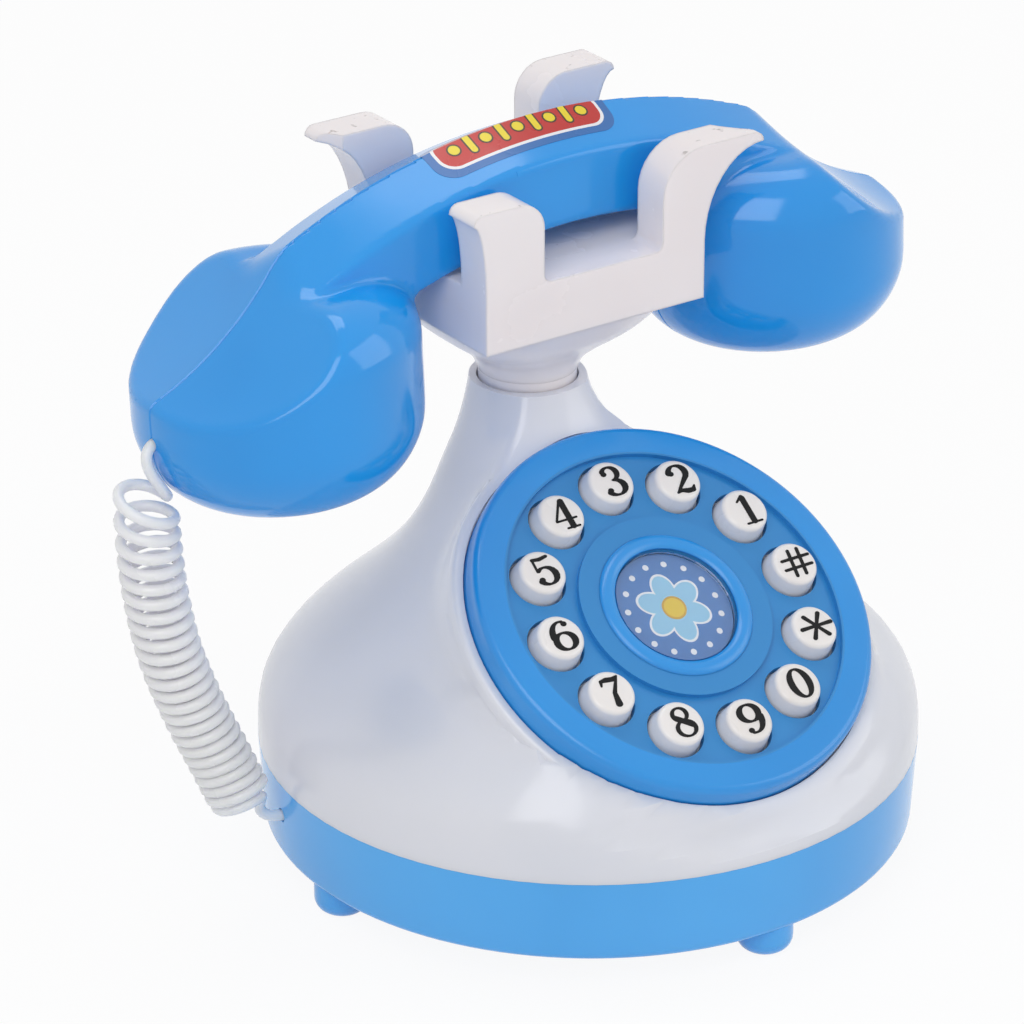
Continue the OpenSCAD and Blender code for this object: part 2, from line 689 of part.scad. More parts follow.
module handset_back() color(blue) at_handset() difference() {
    union() {
        handset_half(1);
        handset_screw_places() translate([0, seam_gap / 2, 0]) rotate([-90, 0, 0])
            cylinder(r = 4.4, h = bowl_r - wall - 0.2, $fn = 32);
    }
    handset_screw_places() {
        translate([0, -1, 0]) rotate([-90, 0, 0]) cylinder(r = screw_r + 0.3, h = 60, $fn = 24);
        translate([0, 8, 0]) rotate([-90, 0, 0]) cylinder(r = head_r + 0.3, h = 60, $fn = 32);
    }
    handset_cord_hole();
}

module handset_screws() color(steel) at_handset() handset_screw_places()
    translate([0, 8.1, 0]) rotate([90, 0, 0]) screw(18);

// ---- Cord ---------------------------------------------------------------------------------

module cord_coil() color("Lavender") translate([0, 0, seam_z])
    bar([for (i = [0:24]) spline(coil_points, i / 24)], curl_d / 2, 12);

module cord_lead_top() color("Lavender") translate([0, 0, seam_z])
    bar([for (i = [0:16]) spline(lead_top_points, i / 16)], wire_d / 2, 8);

module cord_lead_base() color("Lavender") translate([0, 0, seam_z])
    bar([for (i = [0:16]) spline(lead_base_points, i / 16)], wire_d / 2, 8);

base_tub();
battery_door();
battery_door_screw();
batteries();
battery_contacts();
speaker();
power_switch();
case_screws();
body_shell();
dial_face();
dial_lens();
dial_picture();
for (i = [0:button_count - 1]) button(i);
button_mat();
sound_board();
board_screws();
picture_lamp();
hook();
hook_spring();
hook_washer();
hook_screw();
handset_front();
handset_back();
handset_screws();
cord_coil();
cord_lead_top();
cord_lead_base();
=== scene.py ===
"""Looks of a toy table telephone: body, push-button dial, sprung hook, handset and curly cord."""

from math import atan2, copysign, cos, pi, radians, sin, sqrt, tau

import bmesh
import bpy
import numpy as np
from bpy.props import FloatProperty, FloatVectorProperty, IntProperty, PointerProperty
from mathutils import Matrix, Vector


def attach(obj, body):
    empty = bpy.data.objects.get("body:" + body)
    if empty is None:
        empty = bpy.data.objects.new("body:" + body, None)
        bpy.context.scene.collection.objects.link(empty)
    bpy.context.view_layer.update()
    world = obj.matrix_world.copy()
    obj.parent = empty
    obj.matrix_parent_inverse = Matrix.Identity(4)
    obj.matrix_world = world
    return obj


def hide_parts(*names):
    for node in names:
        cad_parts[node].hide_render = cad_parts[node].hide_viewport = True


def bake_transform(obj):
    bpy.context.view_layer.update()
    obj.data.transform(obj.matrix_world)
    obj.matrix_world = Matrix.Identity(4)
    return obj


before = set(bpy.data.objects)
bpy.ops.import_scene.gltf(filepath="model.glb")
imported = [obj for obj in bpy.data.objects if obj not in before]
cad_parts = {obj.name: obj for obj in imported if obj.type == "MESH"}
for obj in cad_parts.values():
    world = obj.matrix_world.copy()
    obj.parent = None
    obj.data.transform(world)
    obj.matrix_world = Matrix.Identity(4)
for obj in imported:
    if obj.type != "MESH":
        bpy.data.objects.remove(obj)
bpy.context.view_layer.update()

bl_info = {
    "name": "Toy Table Telephone",
    "version": (1, 0, 0),
    "blender": (4, 5, 0),
    "location": "View3D > Sidebar > Telephone",
    "description": "Builds the finishes, prints, cord and stage of a toy table telephone",
    "category": "Object",
}

MM = 0.001

# ---- Places shared with the CAD frame, in millimetres ----

NECK_BACK = 19.0  # how far the neck and the hook stand behind the middle of the base
DIAL_CENTRE = (0.0, -27.0, 56.5)
DIAL_TILT = radians(35.5)
RING_TOP = -2.0  # heights on the dial count from the tops of the buttons
LENS_R = 11.2
BUTTON_RING_R = 25.0
FACE_R = 31.0
BUTTON_BOTTOM = -7.2
FIGURE_X = 0.3  # how far right of a button's middle its figure is printed
FLANGE_TOP = -5.1
FLANGE_R = 6.2
BUTTON_NAMES = ("button_hash", *(f"button_{n}" for n in range(1, 10)), "button_0", "button_star")

BOWL_X = 52.2
BOWL_R = 25.3
BOWL_H = 36.6
SADDLE_Z = 109.3
HANDLE_BEND = 118.0
HANDLE_W = 20.0
HANDLE_T = 17.6
EAVE_DROP = 4.7
HANDSET_LEAN = radians(2.5)
FLARE_HALF = (22.3, 20.1)
FLARE_BOTTOM = 84.0
FLARE_PROFILE = ((0, 0), (3, 0.1), (5.5, 0.3), (9.4, 0.68), (14.8, 1.0))
HOOK_W = 46.0
STEM_R = 8.8
HANDLE_UNDER_R = HANDLE_BEND - HANDLE_T
RIDGE_Z = (
    SADDLE_Z + HANDLE_UNDER_R - sqrt(HANDLE_UNDER_R**2 - (HOOK_W / 2) ** 2)
    + HOOK_W / 2 * sin(HANDSET_LEAN) + 0.3 + HANDLE_T
)
BOWL_TOP = RIDGE_Z - 16.4
BOWL_Z = BOWL_TOP - BOWL_H
HANDLE_AXIS_Z = RIDGE_Z - HANDLE_BEND
LEAN_PIVOT_Z = BOWL_Z + BOWL_H / 2
KEEL = 3.5
SCOOP_R = 55.0
SCOOP_X = BOWL_X + 43.2
SCOOP_Z = RIDGE_Z + 20.1

COIL_LINE = (
    (-79.3, 18, 78.6), (-78.9, 18, 70.2), (-77.8, 18, 60.2), (-75.6, 17.7, 49.2),
    (-72, 16.7, 38.2), (-68.2, 14.7, 28.2), (-65.4, 12, 19.8),
)
LEAD_TOP = (
    (-75, 19, 89.1), (-77.6, 18.9, 89.2), (-79.5, 18.2, 87.8), (-79.2, 17.2, 84.8), (-77.4, 16, 82.0),
)
LEAD_BASE = (
    (-61.6, 12.8, 18.2), (-62.2, 13.1, 16.4), (-61.2, 12.8, 14.9), (-59, 12.4, 14.4),
    (-56.5, 12, 14.4), (-54, 11.5, 14.4),
)

# Directions of the camera's view: ahead and to its right
VIEW_AHEAD = (0.5156, 0.7418, -0.4289)
VIEW_SIDE = (0.8211, -0.5707, 0.0)

# Sizes of the grains in a moulded plastic: drift of colour, rubbed patches, flow ripples, pits, scuffs
DRIFT, RUB, FLOW, PIT, SCUFF = 45, 14, 17, 0.5, 2.2
PIT_DEPTH = 0.0008
SCUFF_Z = (113, 118)  # heights between which the scuffs set in


def dial_matrix():
    """From the dial's own axes (X right, Y up its face, Z out of it) to the row frame."""
    return Matrix.Translation(DIAL_CENTRE) @ Matrix.Rotation(DIAL_TILT, 4, "X")


def handset_matrix():
    """From the upright handset's axes to the leaning handset on the hook."""
    pivot = Vector((0, 0, LEAN_PIVOT_Z))
    return (
        Matrix.Translation((0, NECK_BACK, 0))
        @ Matrix.Translation(pivot)
        @ Matrix.Rotation(-HANDSET_LEAN, 4, "Y")
        @ Matrix.Translation(-pivot)
    )


# ---- Colours, nodes and meshes ----


def linear(code):
    """A linear colour from sRGB hex, such as "#2F8BD8"."""
    parts = [int(code[i : i + 2], 16) / 255 for i in (1, 3, 5)]
    return tuple(c / 12.92 if c <= 0.04045 else ((c + 0.055) / 1.055) ** 2.4 for c in parts)


def add(tree, kind, inputs=(), **settings):
    """A new node with its settings, and its inputs set to values or linked to sockets."""
    node = tree.nodes.new(kind)
    for name, value in settings.items():
        setattr(node, name, value)
    for name, value in dict(inputs).items():
        if isinstance(value, bpy.types.NodeSocket):
            tree.links.new(value, node.inputs[name])
        else:
            node.inputs[name].default_value = value
    return node


def ramp(tree, factor, low, high, start=0.35, end=0.65):
    """A factor turned to a value from low to high."""
    return add(
        tree, "ShaderNodeMapRange",
        {"Value": factor, "From Min": start, "From Max": end, "To Min": low, "To Max": high},
        interpolation_type="SMOOTHSTEP",
    ).outputs["Result"]


def noise(tree, place, size, detail):
    """Noise with grains about that many millimetres across."""
    inputs = {"Vector": place, "Scale": 1 / (size * MM), "Detail": detail}
    return add(tree, "ShaderNodeTexNoise", inputs).outputs["Fac"]


def combine(tree, operation, a, b, **settings):
    """What one operation makes of two values or sockets."""
    return add(tree, "ShaderNodeMath", {0: a, 1: b}, operation=operation, **settings).outputs[0]


def opaque(colour):
    """Four channels of a colour that is sRGB hex or three linear channels."""
    return (*(linear(colour) if isinstance(colour, str) else colour), 1)


def blended(tree, low, high, factor):
    """A colour between two others, by a factor."""
    inputs = {"A": low, "B": high, "Factor": factor}
    mix = add(tree, "ShaderNodeMix", inputs, data_type="RGBA")
    return next(s for s in mix.outputs if s.type == "RGBA")


def sunk(weight, reach, depth):
    """Light that sinks into a plastic: its share, its reach by colour, and its depth in millimetres."""
    return {"Subsurface Weight": weight, "Subsurface Radius": reach, "Subsurface Scale": depth * MM}


def bump(tree, height, depth, **more):
    """A normal from a height that stands up to so many millimetres."""
    inputs = {"Height": height, "Strength": 1.0, "Distance": depth * MM, **more}
    return add(tree, "ShaderNodeBump", inputs).outputs["Normal"]


def new_material(name):
    material = bpy.data.materials.new(name)
    material.use_nodes = True
    material.node_tree.nodes.clear()
    return material, material.node_tree


def close_material(tree, shader):
    add(tree, "ShaderNodeOutputMaterial", {"Surface": shader})


def scuffed(tree, place, tone, depth):
    """A colour with dirt in fine scuffs on the tops of the prongs. depth: how dark the dirt is."""
    facing = add(tree, "ShaderNodeNewGeometry").outputs["Normal"]
    up = add(tree, "ShaderNodeSeparateXYZ", {"Vector": facing}).outputs["Z"]
    high = add(tree, "ShaderNodeSeparateXYZ", {"Vector": place}).outputs["Z"]
    share = ramp(tree, noise(tree, place, SCUFF, 5.0), 0.0, depth, 0.62, 0.72)
    share = combine(tree, "MULTIPLY", share, ramp(tree, up, 0.0, 1.0, 0.8, 0.95))
    share = combine(tree, "MULTIPLY", share, ramp(tree, high, 0.0, 1.0, *(z * MM for z in SCUFF_Z)))
    return blended(tree, tone, opaque("#7A6F6A"), share)


def moulded(name, colour, shade, rough, ripple, extra=(), edge=0.0, scuff=0.0):
    """A moulded plastic: faint drift of its colour, rubbed patches, flow ripples and fine pits.

    colour, shade: its colour, and the colour where pigment or light gathers. rough: lowest and highest
    roughness. ripple: height of the flow ripples in millimetres. extra: more inputs of the shader.
    edge: radius in millimetres to which sharp edges look rounded. scuff: how dark the dirt is that
    gathers in scuffs on the tops of the prongs."""
    material, tree = new_material(name)
    place = add(tree, "ShaderNodeTexCoord").outputs["Object"]
    drift = ramp(tree, noise(tree, place, DRIFT, 2.0), 0.0, 1.0)
    tone = blended(tree, opaque(colour), opaque(shade), drift)
    if scuff:
        tone = scuffed(tree, place, tone, scuff)
    under = {}
    if edge:
        under["Normal"] = add(tree, "ShaderNodeBevel", {"Radius": edge * MM}, samples=6).outputs["Normal"]
    waves = bump(tree, noise(tree, place, FLOW, 1.0), ripple, **under)
    shader = add(tree, "ShaderNodeBsdfPrincipled", {
        "Base Color": tone, "Roughness": ramp(tree, noise(tree, place, RUB, 4.0), *rough),
        "Normal": bump(tree, noise(tree, place, PIT, 2.0), PIT_DEPTH, Normal=waves),
        "IOR": 1.54, **dict(extra),
    })
    close_material(tree, shader.outputs["BSDF"])
    return material


def metal(name, colour, rough):
    """A drawn or plated metal with fine lines along Z, 0.3 mm apart."""
    material, tree = new_material(name)
    place = add(tree, "ShaderNodeTexCoord").outputs["Object"]
    stretched = {"Vector": place, "Scale": (1.0, 1.0, 0.15)}
    lines = noise(tree, add(tree, "ShaderNodeMapping", stretched).outputs["Vector"], 0.3, 3.0)
    shader = add(tree, "ShaderNodeBsdfPrincipled", {
        "Base Color": opaque(colour), "Metallic": 1.0, "Roughness": ramp(tree, lines, *rough),
        "Normal": bump(tree, lines, 0.01),
    })
    close_material(tree, shader.outputs["BSDF"])
    return material


def coat(names, material):
    """Gives CAD nodes one material."""
    for name in names:
        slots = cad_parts[name].data.materials
        slots.clear()
        slots.append(material)


def soften(names, limit=28):
    """Shades CAD nodes smooth across edges flatter than limit degrees; their points stay."""
    name = "smooth_flat_edges"
    tree = bpy.data.node_groups.get(name)
    if tree is None:
        tree = bpy.data.node_groups.new(name, "GeometryNodeTree")
        for way in ("INPUT", "OUTPUT"):
            tree.interface.new_socket("Geometry", in_out=way, socket_type="NodeSocketGeometry")
        source = add(tree, "NodeGroupInput").outputs[0]
        joined = add(tree, "GeometryNodeMergeByDistance", {"Geometry": source, "Distance": 0.002 * MM})
        angle = add(tree, "GeometryNodeInputMeshEdgeAngle").outputs["Unsigned Angle"]
        sharp = add(
            tree, "FunctionNodeCompare", {0: angle, 1: radians(limit)}, operation="GREATER_THAN"
        ).outputs[0]
        shaded = add(tree, "GeometryNodeSetMeshNormal", {
            "Mesh": joined.outputs[0], "Remove Custom": True, "Edge Sharpness": sharp,
        })
        add(tree, "NodeGroupOutput", {0: shaded.outputs[0]})
    for node in names:
        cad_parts[node].modifiers.new(name, "NODES").node_group = tree


# ---- Lines and fields ----


def unit(v):
    return v / np.linalg.norm(v)


def across(v, along):
    """The direction of v, turned square to a unit vector."""
    return unit(v - along * (v @ along))


def run_of(line):
    """How far along a line of points each of them lies."""
    return np.concatenate([[0], np.cumsum(np.linalg.norm(np.diff(line, axis=0), axis=1))])


def points_at(line, run, at):
    """Points of a line at distances along it."""
    return np.stack([np.interp(at, run, line[:, k]) for k in range(3)], axis=1)


def rounded(u, v):
    """Distance to a square corner at u = v = 0, rounded on its outside."""
    return np.hypot(np.maximum(u, 0), np.maximum(v, 0)) + np.minimum(np.maximum(u, v), 0)


def smooth_min(a, b, r):
    return np.minimum(a, b) - np.maximum(r - np.abs(a - b), 0) ** 2 / (4 * r)


def smooth_max(a, b, r):
    return -smooth_min(-a, -b, r)


def slope(field, p, h=0.01):
    """Gradient of a field at points p, an array of n by 3."""
    return np.stack([
        (field(*(p + d).T) - field(*(p - d).T)) / (2 * h) for d in (np.eye(3) * h)
    ], axis=1)


def skin_of(field, low, high, step):
    """Points and four-sided faces of the surface where a field of (x, y, z) is 0."""
    axes = [np.arange(a, b + step, step) for a, b in zip(low, high)]
    v = field(*np.meshgrid(*axes, indexing="ij"))
    inside = v < 0
    corners = [inside[i : i - 1 or None, j : j - 1 or None, k : k - 1 or None]
               for i in (0, 1) for j in (0, 1) for k in (0, 1)]
    total = sum(c.astype(int) for c in corners)
    active = (total > 0) & (total < 8)
    number = -np.ones(active.shape, int)
    number[active] = np.arange(active.sum())
    cells = np.argwhere(active)
    points = np.array(low) + (cells + 0.5) * step
    start = points.copy()
    reach = 0.75 * step
    for _ in range(6):
        g = slope(field, points)
        points = points - (field(*points.T) / np.maximum((g**2).sum(1), 1e-6))[:, None] * g
        points = np.clip(points, start - reach, start + reach)
    faces = []
    for axis in range(3):
        n, m = [a for a in range(3) if a != axis]
        at = np.argwhere(np.diff(inside, axis=axis))
        for side in (n, m):
            at = at[(at[:, side] > 0) & (at[:, side] < inside.shape[side] - 1)]
        quads = []
        for dn, dm in ((0, 0), (-1, 0), (-1, -1), (0, -1)):
            cell = at.copy()
            cell[:, n] += dn
            cell[:, m] += dm
            quads.append(number[tuple(cell.T)])
        quads = np.stack(quads, axis=1)
        out = inside[tuple(at.T)] ^ (axis == 1)
        faces.append(np.where(out[:, None], quads[:, ::-1], quads))
    return points, np.concatenate(faces)


def linked(name, data):
    """A new object in the scene."""
    obj = bpy.data.objects.new(name, data)
    bpy.context.scene.collection.objects.link(obj)
    return obj


def placed(name, mesh, material, body):
    """A mesh as a piece of one material, that rides on a body."""
    mesh.name = name
    mesh.materials.clear()
    mesh.materials.append(material)
    obj = linked(name, mesh)
    if body:
        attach(obj, body)
    return obj


def mesh_piece(name, points, faces, material, body, place=None, smooth=True):
    """A piece from points in millimetres, that rides on a body."""
    mesh = bpy.data.meshes.new(name)
    where = place or Matrix.Identity(4)
    mesh.from_pydata([(where @ Vector(p)) * MM for p in points], [], faces)
    mesh.validate()
    if smooth:
        mesh.shade_smooth()
    else:
        mesh.shade_flat()
    return placed(name, mesh, material, body)


def everything(shape):
    return shape.verts[:] + shape.edges[:] + shape.faces[:]


def settle(shape, mesh):
    """Turns a shape's faces outwards and puts it in a mesh."""
    bmesh.ops.recalc_face_normals(shape, faces=shape.faces)
    shape.to_mesh(mesh)
    shape.free()


def tube_faces(rows, sides):
    """Faces of a tube through rings of points, closed at both ends."""
    faces = []
    for low in range(0, (rows - 1) * sides, sides):
        for k in range(sides):
            n = (k + 1) % sides
            faces.append((low + k, low + n, low + sides + n, low + sides + k))
    faces.append(tuple(range(sides))[::-1])
    faces.append(tuple((rows - 1) * sides + k for k in range(sides)))
    return faces


def spline(points, count):
    """count points on the smooth curve through the given points."""
    p = np.array(points, float)
    out = []
    before_end = 0.999999
    for u in np.linspace(0, 1, count):
        s = min(u, before_end) * (len(p) - 1)
        i = int(s)
        t = s - i
        a, b, c, d = p[max(i - 1, 0)], p[i], p[i + 1], p[min(i + 2, len(p) - 1)]
        out.append(
            (2 * b + (c - a) * t + (2 * a - 5 * b + 4 * c - d) * t**2 + (3 * b - a - 3 * c + d) * t**3) / 2
        )
    return np.array(out)


def turned(name, profile, place, material, body, sides=64):
    """A piece turned from a profile of (radius, height) in millimetres, closed on its axis at both ends."""
    (_, bottom), *rings, (_, top) = profile
    points = [(0, 0, bottom)]
    turns = [(cos(tau * k / sides), sin(tau * k / sides)) for k in range(sides)]
    points += [(r * c, r * s, h) for r, h in rings for c, s in turns]
    points.append((0, 0, top))
    last = len(points) - 1
    faces = []
    for k in range(sides):
        n = (k + 1) % sides
        faces.append((0, 1 + n, 1 + k))
        for j in range(len(rings) - 1):
            low, high = 1 + j * sides, 1 + (j + 1) * sides
            faces.append((low + k, low + n, high + n, high + k))
        low = 1 + (len(rings) - 1) * sides
        faces.append((low + k, low + n, last))
    obj = mesh_piece(name, points, faces, material, body, place)
    obj.data.set_sharp_from_angle(angle=radians(32))
    return obj


# ---- Flat prints: an outline traced round a field of pen strokes ----


def outlines(field, low, high, step):
    """Closed loops of points where a field of (x, y) is 0, traced on a square grid."""
    xs = np.arange(low[0], high[0] + step, step)
    ys = np.arange(low[1], high[1] + step, step)
    gx, gy = np.meshgrid(xs, ys, indexing="ij")
    v = field(gx, gy)
    v = np.where(np.abs(v) < 1e-9, 1e-9, v)

    def cross(i, j, k, m):
        t = v[i, j] / (v[i, j] - v[k, m])
        return (xs[i] + t * (xs[k] - xs[i]), ys[j] + t * (ys[m] - ys[j]))

    follow = {}
    where = {}
    inside = v < 0
    for i in range(len(xs) - 1):
        for j in range(len(ys) - 1):
            corners = [(i, j), (i + 1, j), (i + 1, j + 1), (i, j + 1)]
            signs = [inside[c] for c in corners]
            if all(signs) or not any(signs):
                continue
            starts, ends = [], []
            for n in range(4):
                a, b = corners[n], corners[(n + 1) % 4]
                if inside[a] != inside[b]:
                    key = (min(a, b), max(a, b))
                    where[key] = cross(*key[0], *key[1])
                    (starts if inside[a] else ends).append((n, key))
            for n, key in starts:
                nearest = min(ends, key=lambda e: (n - e[0]) % 4 if len(ends) > 1 else 0)
                ends.remove(nearest)
                follow[key] = nearest[1]
    loops = []
    while follow:
        key = next(iter(follow))
        loop = []
        while key in follow:
            loop.append(where[key])
            key = follow.pop(key)
        loops.append(loop)
    return loops


def strokes(parts):
    """Field of pen strokes. A part is a list of (x, y, half width) along a stroke."""

    def field(x, y):
        best = np.full_like(x, 1e9)
        for part in parts:
            for (ax, ay, aw), (bx, by, bw) in zip(part[:-1], part[1:]):
                dx, dy = bx - ax, by - ay
                t = np.clip(((x - ax) * dx + (y - ay) * dy) / max(dx**2 + dy**2, 1e-12), 0, 1)
                away = np.hypot(x - ax - t * dx, y - ay - t * dy)
                best = np.minimum(best, away - aw - t * (bw - aw))
        return best

    return field


def flat_mesh(name, loops, thick=0.0):
    """A flat mesh of loops filled, with holes, or a plate of that thickness about its middle."""
    curve = bpy.data.curves.new(name, "CURVE")
    curve.dimensions = "2D"
    curve.fill_mode = "BOTH"
    curve.extrude = thick / 2
    for loop in loops:
        line = curve.splines.new("POLY")
        line.points.add(len(loop) - 1)
        line.points.foreach_set("co", [c for x, y in loop for c in (x, y, 0, 1)])
        line.use_cyclic_u = True
    flat = bpy.data.objects.new(name, curve)
    mesh = bpy.data.meshes.new_from_object(flat)
    bpy.data.objects.remove(flat)
    bpy.data.curves.remove(curve)
    return mesh


def plate(name, loops, base, thick, place, material, body):
    """A flat printed shape: loops filled, with holes, from height base up by thick."""
    mesh = flat_mesh(name, loops, thick)
    shape = bmesh.new()
    shape.from_mesh(mesh)
    for v in shape.verts:
        v.co = (place @ (v.co + Vector((0, 0, base + thick / 2)))) * MM
    bmesh.ops.remove_doubles(shape, verts=shape.verts, dist=1e-7)
    settle(shape, mesh)
    return placed(name, mesh, material, body)


def circle(x, y, r, count=40):
    return [(x + r * cos(tau * i / count), y + r * sin(tau * i / count)) for i in range(count)]


def arc(cx, cy, rx, ry, start, end, thin, thick, count=14):
    """Pen stroke along an ellipse's arc, in degrees: thick where it runs upright, thin where it lies."""
    out = []
    for i in range(count + 1):
        a = radians(start + (end - start) * i / count)
        out.append((cx + rx * cos(a), cy + ry * sin(a), thin + (thick - thin) * abs(cos(a)) ** 1.4))
    return out


def bar(x0, y0, x1, y1, w0, w1=None):
    return [(x0, y0, w0), (x1, y1, w0 if w1 is None else w1)]


def digit_strokes():
    """Upright figures with thick stems, thin hairlines and ball ends, one unit high and centred."""
    thin, thick, ball = 0.034, 0.092, 0.082

    def dot(x, y):
        return [(x, y, ball), (x + 0.001, y, ball)]

    def spoke(degrees):
        x, y = 0.42 * cos(radians(degrees)), 0.42 * sin(radians(degrees))
        return [(x, y, 0.065), (0, 0, 0.045), (-x, -y, 0.065)]

    return {
        "1": [
            bar(0.02, -0.44, 0.02, 0.38, 0.085), bar(-0.19, -0.47, 0.23, -0.47, thin),
            bar(-0.17, 0.29, 0.02, 0.44, 0.03, 0.05),
        ],
        "2": [
            arc(0.0, 0.21, 0.23, 0.26, 165, -35, thin, thick), bar(0.19, 0.06, -0.25, -0.4, 0.08, 0.03),
            [(-0.25, -0.4, 0.035), (-0.12, -0.36, 0.06), (0.04, -0.42, 0.085), (0.19, -0.43, 0.075),
             (0.27, -0.3, 0.025)],
            dot(-0.17, 0.24),
        ],
        "3": [
            arc(0.0, 0.25, 0.2, 0.22, 150, -80, thin, 0.082),
            arc(-0.02, -0.22, 0.25, 0.25, 85, -150, thin, thick), dot(-0.16, 0.28), dot(-0.2, -0.28),
        ],
        "4": [
            bar(0.09, -0.44, 0.09, 0.42, 0.085), bar(0.06, 0.46, -0.28, -0.17, thin),
            bar(-0.28, -0.19, 0.28, -0.19, 0.034), bar(-0.08, -0.47, 0.26, -0.47, thin),
        ],
        "5": [
            [(-0.19, 0.42, 0.05), (0.0, 0.39, 0.06), (0.21, 0.43, 0.05)],
            bar(-0.19, 0.42, -0.2, 0.02, thin), arc(-0.01, -0.17, 0.25, 0.28, 130, -150, thin, thick),
            dot(-0.19, -0.26),
        ],
        "6": [
            arc(0.0, -0.18, 0.25, 0.27, 0, 360, thin, thick, 28),
            arc(0.06, 0.0, 0.31, 0.45, 180, 75, thin, thick), dot(0.17, 0.35),
        ],
        "7": [
            [(-0.24, 0.25, 0.028), (-0.2, 0.4, 0.05), (-0.05, 0.4, 0.08), (0.1, 0.37, 0.075),
             (0.26, 0.43, 0.03)],
            bar(0.25, 0.42, 0.0, -0.05, thin, 0.06), bar(0.0, -0.05, -0.04, -0.41, 0.06, 0.095),
        ],
        "8": [
            arc(0.0, 0.24, 0.19, 0.21, 0, 360, thin, 0.06, 28),
            arc(0.0, -0.22, 0.24, 0.25, 0, 360, thin, 0.062, 28),
            [(-0.17, 0.2, 0.07), (0.0, 0.03, 0.085), (0.2, -0.17, 0.08)],
        ],
        "9": [
            arc(0.0, 0.18, 0.25, 0.27, 0, 360, thin, thick, 28),
            arc(-0.06, 0.0, 0.31, 0.45, 0, -105, thin, thick), dot(-0.17, -0.35),
        ],
        "0": [arc(0.0, 0.0, 0.24, 0.46, 0, 360, thin, 0.095, 36)],
        "#": [
            bar(-0.18, -0.42, -0.08, 0.42, 0.05), bar(0.09, -0.42, 0.19, 0.42, 0.05),
            bar(-0.38, 0.15, 0.4, 0.15, 0.048), bar(-0.4, -0.16, 0.38, -0.16, 0.048),
        ],
        "*": [spoke(0), spoke(60), spoke(120)],
    }


# ---- Sizes and colours that a user would change ----


def colour_property(name, description, code):
    return FloatVectorProperty(
        name=name, description=description, subtype="COLOR", size=3, min=0, max=1, default=linear(code)
    )


def length_property(name, description, size):
    """A length that is given in millimetres."""
    return FloatProperty(
        name=name, description=description, default=size * MM, unit="LENGTH", subtype="DISTANCE"
    )


class HousingFinish(bpy.types.PropertyGroup):
    white: colour_property("Body white", "Colour of the bell-shaped body", "#E8E9F0")
    blue: colour_property("Tub blue", "Colour of the tub under the body", "#50B2F8")


class DialFinish(bpy.types.PropertyGroup):
    blue: colour_property("Dial blue", "Colour of the dial and its ring", "#2A99E8")
    face: colour_property("Face blue", "Colour of the dial's recessed face", "#308BCE")
    button_d: length_property("Button diameter", "Diameter of a button's cap", 8.6)
    digit_h: length_property("Figure height", "Height of the figures on the buttons", 6.0)
    digit_w: FloatProperty(
        name="Figure width", description="How much wider the figures are than their drawing", default=1.2
    )
    digit_t: length_property("Figure thickness", "Height of the figures above the buttons", 0.05)
    card: colour_property("Card blue", "Ground colour of the picture under the lens", "#3F7FC6")
    petal_count: IntProperty(
        name="Petals", description="Number of petals in the picture", default=6, min=5, max=8
    )


class HookFinish(bpy.types.PropertyGroup):
    ivory: colour_property("Hook ivory", "Colour of the hook and its prongs", "#FAF3F4")


class HandsetFinish(bpy.types.PropertyGroup):
    blue: colour_property("Handset blue", "Colour of the handset", "#1E9DF0")
    badge_l: length_property("Badge length", "Length of the badge along the handle", 38)
    badge_w: length_property("Badge width", "Width of the badge across the handle", 11.2)


class CordFinish(bpy.types.PropertyGroup):
    white: colour_property("Cord white", "Colour of the cord", "#FCFAFF")
    wire_d: length_property("Wire diameter", "Diameter of the cord's wire", 2)
    curl_d: length_property("Curl diameter", "Outside diameter of the curls", 11.6)
    turns: IntProperty(name="Turns", description="Number of curls", default=24, min=10, max=30)
    stretch: FloatProperty(
        name="Stretch", description="How much further apart the upper curls hang than the mean",
        default=0.2, min=0, max=0.4,
    )


class StageFinish(bpy.types.PropertyGroup):
    floor_r: length_property("Floor radius", "Radius of the round floor", 3000)
    lens_mm: FloatProperty(
        name="Focal length", description="Focal length of the camera, in millimetres", default=175.78
    )


# ---- Finishes that several pieces share, and the inner pieces' own ----

BLUE_DEPTH = sunk(0.08, (0.3, 0.7, 1.0), 2)
INNER_FINISHES = (
    # node, material, colour, shade, lowest and highest roughness, ripple in millimetres
    ("batteries", "printed_cell_jacket", "#3A3D42", "#2E3136", (0.3, 0.45), 0.004),
    ("speaker", "pressed_paper_cone", "#1E1F21", "#26272A", (0.7, 0.9), 0.05),
    ("power_switch", "moulded_nylon_black", "#17181A", "#202124", (0.35, 0.5), 0.01),
    ("button_mat", "moulded_silicone_grey", "#8A8D92", "#7E8186", (0.5, 0.65), 0.01),
    ("sound_board", "glass_epoxy_board", "#1E6B3A", "#1A5C33", (0.3, 0.45), 0.004),
    ("picture_lamp", "cast_epoxy_lamp", "#E9E6DC", "#DEDACD", (0.15, 0.25), 0.002),
)
METAL_NODES = (
    "battery_door_screw", "case_screws", "board_screws", "battery_contacts", "hook_spring",
    "hook_washer", "hook_screw", "handset_screws",
)


# ---- Operators, one for each group of pieces ----


